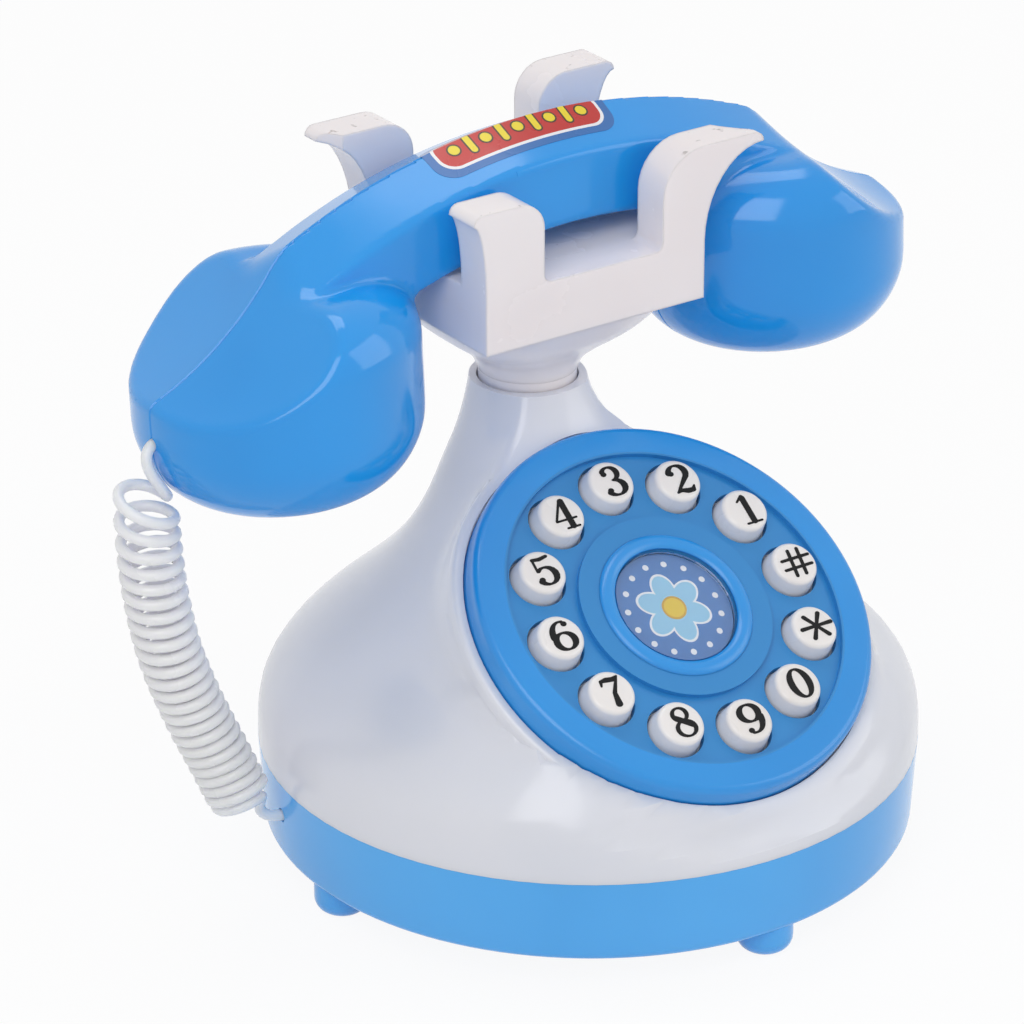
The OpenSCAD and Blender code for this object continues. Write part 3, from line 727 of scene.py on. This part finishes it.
def cord_path(look):
    """The wire's centreline: lead, curls about a hanging line, lead."""
    per_turn = 18
    steps = look.turns * per_turn
    share = np.linspace(0, 1, steps + 1)
    line = spline(COIL_LINE, 400)
    run = run_of(line)
    line = points_at(line, run, (share + look.stretch * share * (1 - share)) * run[-1])
    radius = (look.curl_d - look.wire_d) / MM / 2
    # The first curls lean up towards the lead: half how high, and over how many turns that fades
    tip_height, tip_turns = 2.4, 3.5
    curls = []
    for i, c in enumerate(line):
        along = unit(line[min(i + 1, steps)] - line[max(i - 1, 0)])
        a = across(np.array(VIEW_SIDE), along)
        b = -np.cross(along, a)
        turn = i / per_turn
        phase = tau * turn
        r = radius * (0.9 + 0.1 * min(1.0, turn / 0.3, (look.turns - turn) / 0.5))
        tip = tip_height * (1 - cos(phase)) * max(0.0, 1 - turn / tip_turns) ** 2
        curls.append(c + r * (cos(phase) * a + sin(phase) * b) + np.array([0, 0, tip]))
    top = spline([*LEAD_TOP, tuple(curls[0])], 24)[:-1]
    low = spline([tuple(curls[-1]), *LEAD_BASE], 24)[1:]
    rough = np.concatenate([top, curls, low])
    run = run_of(rough)
    spacing = 0.7
    wire = points_at(rough, run, np.linspace(0, run[-1], int(run[-1] / spacing)))
    return eased(wire)


def eased(wire):
    """The centreline with the folds between the leads and the curls made rounder."""
    reach, fade, rounds, pull = 48, 16, 14, 0.9
    steps = np.arange(len(wire))
    share = np.clip((reach - np.minimum(steps, steps[::-1])) / fade, 0, 1)[1:-1, None]
    for _ in range(rounds):
        middle = (wire[:-2] + wire[2:]) / 2
        wire[1:-1] += (middle - wire[1:-1]) * share * pull
    return wire


class TELEPHONE_OT_cord(bpy.types.Operator):
    """Winds the curly cord from the handset down to the seam of the housing"""

    bl_idname = "telephone.cord"
    bl_label = "Curly Cord"

    def execute(self, context):
        look = context.scene.telephone_cord
        path = cord_path(look)
        sides = 12
        points = []
        up = np.array([1.0, 0.0, 0.0])
        for i, p in enumerate(path):
            along = unit(path[min(i + 1, len(path) - 1)] - path[max(i - 1, 0)])
            up = across(up, along)
            side = np.cross(along, up)
            for k in range(sides):
                a = tau * k / sides
                points.append(p + look.wire_d / MM / 2 * (cos(a) * up + sin(a) * side))
        # Soft PVC, extruded and wound warm: milky white under a slick skin; light sinks in deep
        pvc = moulded(
            "extruded_soft_pvc_white", look.white, "#F8F5FD", (0.22, 0.32), 0.004,
            sunk(1.0, (1.0, 0.95, 1.1), 3),
        )
        cord = mesh_piece("curly_cord", points, tube_faces(len(path), sides), pvc, None)
        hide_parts("cord_coil", "cord_lead_top", "cord_lead_base")
        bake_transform(cord)
        return {"FINISHED"}


class TELEPHONE_OT_housing(bpy.types.Operator):
    """Gives the tub, the bell-shaped body and what they hold their finishes"""

    bl_idname = "telephone.housing"
    bl_label = "Housing"

    def execute(self, context):
        look = context.scene.telephone_housing
        # ABS, moulded in polished steel: deep even colour under a hard gloss
        blue = moulded("moulded_abs_tub_blue", look.blue, "#49ABF2", (0.10, 0.17), 0.012, BLUE_DEPTH)
        coat(["base_tub", "battery_door"], blue)
        # ABS, polished mould: cool white, light sinks in a little and comes out soft
        white = moulded(
            "moulded_abs_body_white", look.white, "#E3E5ED", (0.14, 0.22), 0.012,
            sunk(0.25, (1.0, 1.0, 1.1), 3),
        )
        coat(["body_shell"], white)
        soften(["body_shell", "base_tub", "dial_face", "hook"])
        coat(METAL_NODES, metal("zinc_plated_steel", "#C6C8CB", (0.25, 0.4)))
        for node, *finish in INNER_FINISHES:
            coat([node], moulded(*finish))
        return {"FINISHED"}


def dull_face(material, colour):
    """Leaves the face and its disc deeper and duller than the polished ring and the lens's bead."""
    tree = material.node_tree
    shader = next(n for n in tree.nodes if n.type == "BSDF_PRINCIPLED")
    out = dial_matrix().to_3x3() @ Vector((0, 0, 1))
    place = add(tree, "ShaderNodeTexCoord").outputs["Object"]
    high = add(tree, "ShaderNodeVectorMath", {0: place, 1: out}, operation="DOT_PRODUCT")
    away = add(
        tree, "ShaderNodeVectorMath", {0: place, 1: Vector(DIAL_CENTRE) * MM}, operation="DISTANCE"
    )
    level = out.dot(Vector(DIAL_CENTRE)) + RING_TOP
    polished = combine(
        tree, "MAXIMUM",
        ramp(tree, high.outputs["Value"], 0.0, 1.0, (level + 0.1) * MM, (level + 0.3) * MM),
        ramp(tree, away.outputs["Value"], 0.0, 1.0, (FACE_R + 0.3) * MM, (FACE_R + 0.6) * MM),
    )
    tone, rough = (shader.inputs[n].links[0].from_socket for n in ("Base Color", "Roughness"))
    tree.links.new(blended(tree, opaque(colour), tone, polished), shader.inputs["Base Color"])
    duller = ramp(tree, polished, 0.14, 0.0, 0.0, 1.0)
    tree.links.new(combine(tree, "ADD", rough, duller), shader.inputs["Roughness"])


def cap_profile(radius):
    """Profile of a button: stem, flange under the dial, cap with a rounded edge and a flat top."""
    stem, under, shoulder, edge = 3.0, FLANGE_TOP - 1.3, -1.6, 0.9
    return [
        (0, BUTTON_BOTTOM), (stem, BUTTON_BOTTOM), (stem, under), (FLANGE_R, under),
        (FLANGE_R, FLANGE_TOP), (radius + 0.7, FLANGE_TOP), (radius + 0.1, shoulder),
        *((radius - edge * (1 - sin(a)), -edge * (1 - cos(a))) for a in np.linspace(pi / 2, 0, 7)),
        (0, 0),
    ]


class TELEPHONE_OT_dial(bpy.types.Operator):
    """Finishes the dial and its buttons and prints the figures on them"""

    bl_idname = "telephone.dial"
    bl_label = "Dial and Buttons"

    def execute(self, context):
        look = context.scene.telephone_dial
        # ABS from a blasted mould: the same blue, with a satin skin that spreads highlights
        dial = moulded("moulded_abs_dial_blue", look.blue, "#2693E2", (0.18, 0.26), 0.006, BLUE_DEPTH)
        dull_face(dial, look.face)
        coat(["dial_face"], dial)
        # ABS caps in warm white, half gloss
        caps = moulded(
            "moulded_abs_button_white", "#F4F0EE", "#EEE9E6", (0.24, 0.34), 0.004,
            sunk(0.2, (1.1, 1.0, 0.9), 1.5),
        )
        ink = moulded(
            "pad_printed_black_ink", "#08080A", "#0E0E11", (0.4, 0.5), 0.001, {"Specular IOR Level": 0.2}
        )
        figures = digit_strokes()
        high = look.digit_h / MM
        wide = high * look.digit_w
        for i, name in enumerate(BUTTON_NAMES):
            key = name.split("_")[1]
            field = strokes(figures[{"hash": "#", "star": "*"}.get(key, key)])
            loops = [
                [(x * wide + FIGURE_X, y * high) for x, y in loop]
                for loop in outlines(field, (-0.5, -0.56), (0.5, 0.56), 0.018)
            ]
            turn = radians(30 * i)
            middle = Matrix.Translation((BUTTON_RING_R * cos(turn), BUTTON_RING_R * sin(turn), 0))
            place = dial_matrix() @ middle
            profile = cap_profile(look.button_d / MM / 2)
            cap = turned(name.replace("button", "cap"), profile, place, caps, name)
            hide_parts(name)
            piece = plate("figure_" + key, loops, 0.0, look.digit_t / MM, place, ink, name)
        return {"FINISHED"}


def petals(count, grow):
    """Outline of a flower of oval petals, grown by so many millimetres."""
    middle, long, wide = 3.9, 2.7, 2.0

    def field(x, y):
        best = np.full_like(x, 1e9)
        for i in range(count):
            a = tau * (i + 0.5) / count
            u, v = x * cos(a) + y * sin(a), -x * sin(a) + y * cos(a)
            best = np.minimum(best, np.hypot((u - middle) / long, v / wide) - 1)
        return best * wide - grow

    return outlines(field, (-7.7, -7.7), (7.7, 7.7), 0.12)


def dots():
    count, ring_r, dot_r = 15, 8.8, 0.58
    return [
        circle(ring_r * cos(tau * i / count), ring_r * sin(tau * i / count), dot_r, 20)
        for i in range(count)
    ]


class TELEPHONE_OT_picture(bpy.types.Operator):
    """Prints the round card with a flower and sets the clear lens over it"""

    bl_idname = "telephone.picture"
    bl_label = "Picture and Lens"

    def execute(self, context):
        look = context.scene.telephone_dial
        # Polystyrene lens, moulded clear: bright edge, one soft highlight
        material, tree = new_material("moulded_polystyrene_clear")
        clear = add(tree, "ShaderNodeBsdfPrincipled", {
            "Base Color": opaque("#FBFDFF"), "Roughness": 0.03, "IOR": 1.49, "Transmission Weight": 1.0,
        })
        close_material(tree, clear.outputs["BSDF"])
        coat(["dial_lens"], material)
        place = dial_matrix()
        top, card_t, ink_t = RING_TOP - 1.62, 0.34, 0.02
        card = moulded("coated_card_blue", look.card, "#3A78BE", (0.35, 0.5), 0.002)
        outline = circle(0, 0, LENS_R - 0.25, 96)
        ground = plate("picture_card", [outline], top - ink_t * 2 - card_t, card_t, place, card, "housing")
        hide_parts("dial_picture")
        inks = {
            name: moulded(f"offset_ink_{name}", colour, shade, (0.4, 0.5), 0.001)
            for name, colour, shade in (
                ("white", "#F7F8FC", "#F0F2F8"), ("sky", "#9BD3F2", "#8CCBEE"),
                ("amber", "#DDA928", "#D29F20"), ("yellow", "#F3CF32", "#E9BE22"),
            )
        }
        layers = (
            ("picture_petal_edge", petals(look.petal_count, 0.3), "white", 0),
            ("picture_petals", petals(look.petal_count, -0.05), "sky", 1),
            ("picture_heart_edge", [circle(0, 0, 2.3, 48)], "amber", 2),
            ("picture_heart", [circle(0, 0, 1.9, 48)], "yellow", 3),
            ("picture_dots", dots(), "white", 0),
        )
        for name, loops, ink, level in layers:
            thick = ink_t + 0.015 * level
            piece = plate(name, loops, top - ink_t * 2, thick, place, inks[ink], "housing")
        return {"FINISHED"}


def flare(material):
    """The stem's flare: from the round stem to a rounded oblong under the whole block."""
    sides = 96
    root = STEM_R - 0.02
    points = []
    rows = spline([(up, grow, 0) for up, grow in FLARE_PROFILE], 24)
    for up, grow, _ in rows:
        rx, ry = (root + (half - STEM_R) * grow for half in FLARE_HALF)
        power = 1 / (1 + grow)
        for k in range(sides):
            c, d = cos(tau * k / sides), sin(tau * k / sides)
            x, y = rx * copysign(abs(c) ** power, c), ry * copysign(abs(d) ** power, d)
            points.append((x, NECK_BACK + y, FLARE_BOTTOM + up))
    piece = mesh_piece("hook_flare", points, tube_faces(len(rows), sides), material, "hook")
    piece.data.set_sharp_from_angle(angle=radians(40))


class TELEPHONE_OT_hook(bpy.types.Operator):
    """Gives the hook, its stem and its prongs their warm white"""

    bl_idname = "telephone.hook"
    bl_label = "Hook"

    def execute(self, context):
        look = context.scene.telephone_hook
        # ABS in natural white, unpolished mould: a warmer and slightly duller white
        ivory = moulded(
            "moulded_abs_natural", look.ivory, "#F5EDEE", (0.2, 0.28), 0.005,
            sunk(0.2, (1.1, 1.0, 0.9), 2.5), edge=0.7, scuff=0.6,
        )
        coat(["hook"], ivory)
        flare(ivory)
        return {"FINISHED"}


def handset_form(x, y, z):
    """Field of the upright handset: an arched handle, two bowls and the scoops over them."""
    x, y = np.abs(x), np.abs(y)
    r = np.hypot(x, z - HANDLE_AXIS_Z)
    half = HANDLE_W / 2
    roof = ((r - HANDLE_BEND) * half + y * EAVE_DROP) / sqrt(half**2 + EAVE_DROP**2)
    handle = smooth_max(smooth_max(y - half, roof, 1.0), HANDLE_BEND - HANDLE_T - r, 1.6)
    handle = smooth_max(handle, x - BOWL_X - 4, 1.0)
    rho = np.hypot(x - BOWL_X, y)
    corner = 11.0
    u, v = rho - BOWL_R + corner, z - BOWL_TOP + corner
    high = rounded(u, v) - corner
    wide, deep = BOWL_R * 0.5, BOWL_H * 0.4
    u, v = (rho - wide) / wide, (BOWL_Z + deep - z) / deep
    low = (rounded(u, v) - 1) * wide
    bowl = smooth_max(high, low, 0.5)
    scoop = SCOOP_R + KEEL * y / BOWL_R - np.hypot(x - SCOOP_X, z - SCOOP_Z)
    return smooth_max(smooth_min(handle, bowl, 1.5), scoop, 1.4)


def halves(material):
    """Two moulded halves that meet in a fine groove; the rear one has the screw wells."""
    whole = half_mesh()
    drilled = with_wells(whole)
    lean = handset_matrix()
    for node, name, source, flip in (
        ("handset_back", "handset_half_rear", drilled, 1),
        ("handset_front", "handset_half_front", whole, -1),
    ):
        made = source.copy()
        if flip < 0:
            made.flip_normals()
        co = np.array([v.co for v in made.vertices]) * (1, flip, 1)
        grade = slope(handset_form, co)
        grade /= np.maximum(np.linalg.norm(grade, axis=1), 1e-9)[:, None]
        leaned = grade @ np.array(lean)[:3, :3].T
        off = np.abs(handset_form(*co.T))
        made.transform(Matrix.Diagonal((MM, MM, MM, 1)) @ lean @ Matrix.Diagonal((1, flip, 1, 1)))
        made.shade_smooth()
        # On the form itself a corner shades by the form's own slope, elsewhere by its face
        near, alike = 0.02, 0.75
        normals = []
        for face in made.polygons:
            flat = np.array(face.normal)
            for index in face.vertices:
                own = off[index] < near and leaned[index] @ flat > alike
                normals.append(tuple(leaned[index]) if own else tuple(flat))
        made.normals_split_custom_set(normals)
        obj = placed(name, made, material, "handset")
        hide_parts(node)


def half_mesh():
    """Mesh of one upright half: the form's skin, cut just short of the seam and closed there."""
    gap, groove, sunk_in, step = 0.06, 0.28, 0.22, 1.1
    low, high = (-82, -2.2, BOWL_Z - 3), (82, BOWL_R + 3, RIDGE_Z + 3)
    points, faces = skin_of(handset_form, low, high, step)
    shape = bmesh.new()
    verts = [shape.verts.new(p) for p in points]
    for face in faces:
        shape.faces.new([verts[i] for i in face])
    for at in (groove, gap):
        bmesh.ops.bisect_plane(
            shape, geom=everything(shape), plane_co=(0, at, 0), plane_no=(0, -1, 0), clear_outer=at == gap
        )
    rim = [v for v in shape.verts if v.co.y < gap + 1e-4]
    dips = slope(handset_form, np.array([v.co for v in rim]))
    for v, dip in zip(rim, dips):
        v.co -= Vector((dip[0], 0, dip[2])) * (sunk_in / max(np.linalg.norm(dip), 0.2))
    bmesh.ops.contextual_create(shape, geom=[e for e in shape.edges if len(e.link_faces) == 1])
    bmesh.ops.triangulate(shape, faces=[f for f in shape.faces if len(f.verts) > 8])
    mesh = bpy.data.meshes.new("half")
    settle(shape, mesh)
    return mesh


def with_wells(mesh):
    """A copy of the half with a round screw well in each bowl."""
    half = linked("half", mesh)
    well_r, well_y, well_z = 3.0, 28.0, BOWL_Z + 0.36 * BOWL_H
    wells = []
    for side in (-1, 1):
        well = bmesh.new()
        bmesh.ops.create_cone(well, cap_ends=True, segments=48, radius1=well_r, radius2=well_r, depth=40)
        tool = bpy.data.meshes.new("well")
        well.to_mesh(tool)
        well.free()
        cutter = linked("well", tool)
        middle = Matrix.Translation((side * BOWL_X, well_y, well_z))
        cutter.matrix_world = middle @ Matrix.Rotation(pi / 2, 4, "X")
        cut = half.modifiers.new("well", "BOOLEAN")
        cut.operation, cut.object, cut.solver = "DIFFERENCE", cutter, "EXACT"
        wells.append(cutter)
    bpy.context.view_layer.update()
    graph = bpy.context.evaluated_depsgraph_get()
    drilled = bpy.data.meshes.new_from_object(half.evaluated_get(graph))
    for obj in (half, *wells):
        bpy.data.objects.remove(obj)
    return drilled


def badge(look):
    """Vinyl label, printed: blue edge, white line, red field and a row of yellow bars and dots."""
    pitch = atan2(EAVE_DROP, HANDLE_W / 2)
    middle = -1.8 / HANDLE_BEND
    long, wide = look.badge_l / MM, look.badge_w / MM
    ridge = 7.3 - wide / 2

    def over_ridge(x, y, z):
        y -= ridge
        turn = middle + x / HANDLE_BEND
        r = HANDLE_BEND - abs(y) * sin(pitch) + z * cos(pitch) + 0.02
        across_z = z * sin(pitch) * ((y > 0) - (y < 0))
        return (r * sin(turn), y * cos(pitch) + across_z, HANDLE_AXIS_Z + r * cos(turn))

    def plaque(inset_l, inset_w, corner):
        half_l, half_w = (long - inset_l) / 2, (wide - inset_w) / 2
        return lambda x, y: rounded(np.abs(x) - half_l + corner, np.abs(y) - half_w + corner) - corner

    vinyl = {
        name: moulded(f"printed_vinyl_{name}", colour, shade, (0.2, 0.3), 0.002)
        for name, colour, shade in (
            ("blue", "#2C6FB8", "#2867AD"), ("white", "#F4F4F6", "#ECECF0"),
            ("red", "#C9261F", "#BA1F19"), ("brown", "#3B2A12", "#33240F"),
            ("yellow", "#F2DE2F", "#E8D021"),
        )
    }
    pitch_x, bar_half, bar_w, dot_r, shadow = 3.35, 1.5, 0.62, 1.05, 0.32
    marks = []
    for i in range(9):
        x = (i - 4) * pitch_x
        marks.append(bar(x, -bar_half, x, bar_half, bar_w) if i % 2 else bar(x, 0, x + 0.001, 0, dot_r))
    row = strokes(marks)
    layers = (
        ("badge_edge", plaque(0, 0, 4.0), "blue"),
        ("badge_line", plaque(3.2, 3.0, 3.4), "white"),
        ("badge_field", plaque(4.4, 4.2, 2.9), "red"),
        ("badge_shadow", lambda x, y: row(x, y) - shadow, "brown"),
        ("badge_marks", row, "yellow"),
    )
    for n, (name, field, ink) in enumerate(layers):
        size = (long, wide, 0.04 + 0.02 * n)
        piece = lay(name, field, size, ridge, over_ridge, vinyl[ink])


def lay(name, field, size, ridge, bend, material):
    """A flat layer inside a field's outline, cut into strips so that it bends over the ridge."""
    long, wide, thick = size
    shape = bmesh.new()
    loops = outlines(field, (-long / 2 - 1, -wide / 2 - 1), (long / 2 + 1, wide / 2 + 1), 0.2)
    mesh = flat_mesh(name, loops)
    shape.from_mesh(mesh)
    bmesh.ops.remove_doubles(shape, verts=shape.verts, dist=1e-5)
    for normal, offsets in (((0, 1, 0), [ridge]), ((1, 0, 0), np.arange(-long / 2, long / 2, 1.5))):
        for offset in offsets:
            cut = Vector(normal) * float(offset)
            bmesh.ops.bisect_plane(shape, geom=everything(shape), plane_co=cut, plane_no=normal)
    bmesh.ops.recalc_face_normals(shape, faces=shape.faces)
    if sum(f.normal.z for f in shape.faces) < 0:
        bmesh.ops.reverse_faces(shape, faces=shape.faces)
    top = bmesh.ops.extrude_face_region(shape, geom=shape.faces[:])
    for v in top["geom"]:
        if isinstance(v, bmesh.types.BMVert):
            v.co.z = thick
    where = handset_matrix()
    for v in shape.verts:
        v.co = (where @ Vector(bend(*v.co))) * MM
    settle(shape, mesh)
    return placed(name, mesh, material, "handset")


class TELEPHONE_OT_handset(bpy.types.Operator):
    """Finishes the two halves of the handset and lays the badge over its ridge"""

    bl_idname = "telephone.handset"
    bl_label = "Handset and Badge"

    def execute(self, context):
        look = context.scene.telephone_handset
        # ABS, moulded in polished steel: deep even colour under a hard gloss
        blue = moulded("moulded_abs_handset_blue", look.blue, "#1A96E8", (0.08, 0.15), 0.012, BLUE_DEPTH)
        halves(blue)
        badge(look)
        return {"FINISHED"}


def seen(tree):
    """1 for a ray from the camera, or one that a glossy or clear surface sends on."""
    ray = add(tree, "ShaderNodeLightPath").outputs
    either = combine(tree, "ADD", ray["Is Camera Ray"], ray["Is Transmission Ray"], use_clamp=True)
    return combine(tree, "ADD", either, ray["Is Glossy Ray"], use_clamp=True)


def paper():
    """White studio paper: a matt white that stays white and keeps a faint shadow."""
    material, tree = new_material("matt_studio_paper")
    grain = add(tree, "ShaderNodeTexNoise", {"Scale": 1 / (2 * MM)}).outputs["Fac"]
    matt = add(tree, "ShaderNodeBsdfPrincipled", {
        "Base Color": opaque("#F6F6F8"), "Roughness": ramp(tree, grain, 0.85, 0.95),
    })
    glow = add(tree, "ShaderNodeEmission", {"Color": (1.0, 1.0, 1.0, 1.0), "Strength": 1.0})
    share = combine(tree, "MULTIPLY", seen(tree), 0.92)
    mixed = add(tree, "ShaderNodeMixShader", {
        "Fac": share, 1: matt.outputs["BSDF"], 2: glow.outputs["Emission"],
    })
    close_material(tree, mixed.outputs["Shader"])
    return material


def set_camera(scene, look):
    """A long lens from the front left, looking down 25 degrees."""
    ahead = Vector(VIEW_AHEAD).normalized()
    side = Vector(VIEW_SIDE).normalized()
    above = side.cross(ahead)
    data = bpy.data.cameras.new("camera")
    data.lens = look.lens_mm
    data.sensor_width = 36
    data.sensor_fit = "HORIZONTAL"
    data.clip_start, data.clip_end = 0.05, 20
    camera = linked("camera", data)
    turn = Matrix((side, above, -ahead)).transposed().to_4x4()
    place = ahead * -0.903 + side * -0.01356 + above * 0.0527 + Vector((0, 0, 0.0042))
    camera.matrix_world = Matrix.Translation(place) @ turn
    scene.camera = camera


class TELEPHONE_OT_stage(bpy.types.Operator):
    """Sets the pale floor, the soft lamps, the world and the camera"""

    bl_idname = "telephone.stage"
    bl_label = "Stage"

    def execute(self, context):
        look = context.scene.telephone_stage
        scene = context.scene
        scene.view_settings.view_transform = "Standard"
        rim = circle(0, 0, look.floor_r / MM, 96)
        floor = mesh_piece(
            "floor", [(x, y, -0.2) for x, y in rim], [tuple(range(len(rim)))], paper(), None,
            smooth=False,
        )
        world = bpy.data.worlds.new("studio")
        scene.world = world
        world.use_nodes = True
        tree = world.node_tree
        tree.nodes.clear()
        # Plain white where the camera sees it, dimmer where it lights the object
        levels = {"A": 0.42, "B": 1.0, "Factor": seen(tree)}
        strength = add(tree, "ShaderNodeMix", levels, data_type="FLOAT").outputs["Result"]
        back = add(tree, "ShaderNodeBackground", {"Color": opaque("#FFFFFF"), "Strength": strength})
        add(tree, "ShaderNodeOutputWorld", {"Surface": back.outputs["Background"]})
        lamps = (
            ("key", (-0.8, -0.8, 1.1), (0.95, 1.15), 8.0),
            ("fill", (1.0, -0.8, 0.6), (0.8, 0.9), 3.0),
            ("top", (0.1, 0.35, 1.25), (0.9, 0.5), 3.0),
        )
        for name, where, size, power in lamps:
            data = bpy.data.lights.new(name, "AREA")
            data.shape = "RECTANGLE"
            data.size, data.size_y = size
            data.energy = power
            lamp = linked(name, data)
            lamp.location = where
            aim = Vector((0, 0, 0.07)) - Vector(where)
            lamp.rotation_euler = aim.to_track_quat("-Z", "Y").to_euler()
        set_camera(scene, look)
        return {"FINISHED"}


class TELEPHONE_PT_panel(bpy.types.Panel):
    """Lists the telephone's groups of pieces"""

    bl_idname = "TELEPHONE_PT_panel"
    bl_label = "Toy Table Telephone"
    bl_space_type = "VIEW_3D"
    bl_region_type = "UI"
    bl_category = "Telephone"

    def draw(self, context):
        for operator in OPERATORS:
            self.layout.operator(operator.bl_idname)


GROUPS = {
    "telephone_housing": HousingFinish,
    "telephone_dial": DialFinish,
    "telephone_hook": HookFinish,
    "telephone_handset": HandsetFinish,
    "telephone_cord": CordFinish,
    "telephone_stage": StageFinish,
}
OPERATORS = (
    TELEPHONE_OT_stage,
    TELEPHONE_OT_cord,
    TELEPHONE_OT_housing,
    TELEPHONE_OT_dial,
    TELEPHONE_OT_picture,
    TELEPHONE_OT_hook,
    TELEPHONE_OT_handset,
)


def register():
    for name, group in GROUPS.items():
        bpy.utils.register_class(group)
        setattr(bpy.types.Scene, name, PointerProperty(type=group))
    for made in (*OPERATORS, TELEPHONE_PT_panel):
        bpy.utils.register_class(made)


def unregister():
    for made in reversed((*OPERATORS, TELEPHONE_PT_panel)):
        bpy.utils.unregister_class(made)
    for name, group in GROUPS.items():
        delattr(bpy.types.Scene, name)
        bpy.utils.unregister_class(group)


def main():
    register()
    for operator in OPERATORS:
        group, action = operator.bl_idname.split(".")
        getattr(getattr(bpy.ops, group), action)()


if __name__ == "__main__":
    main()
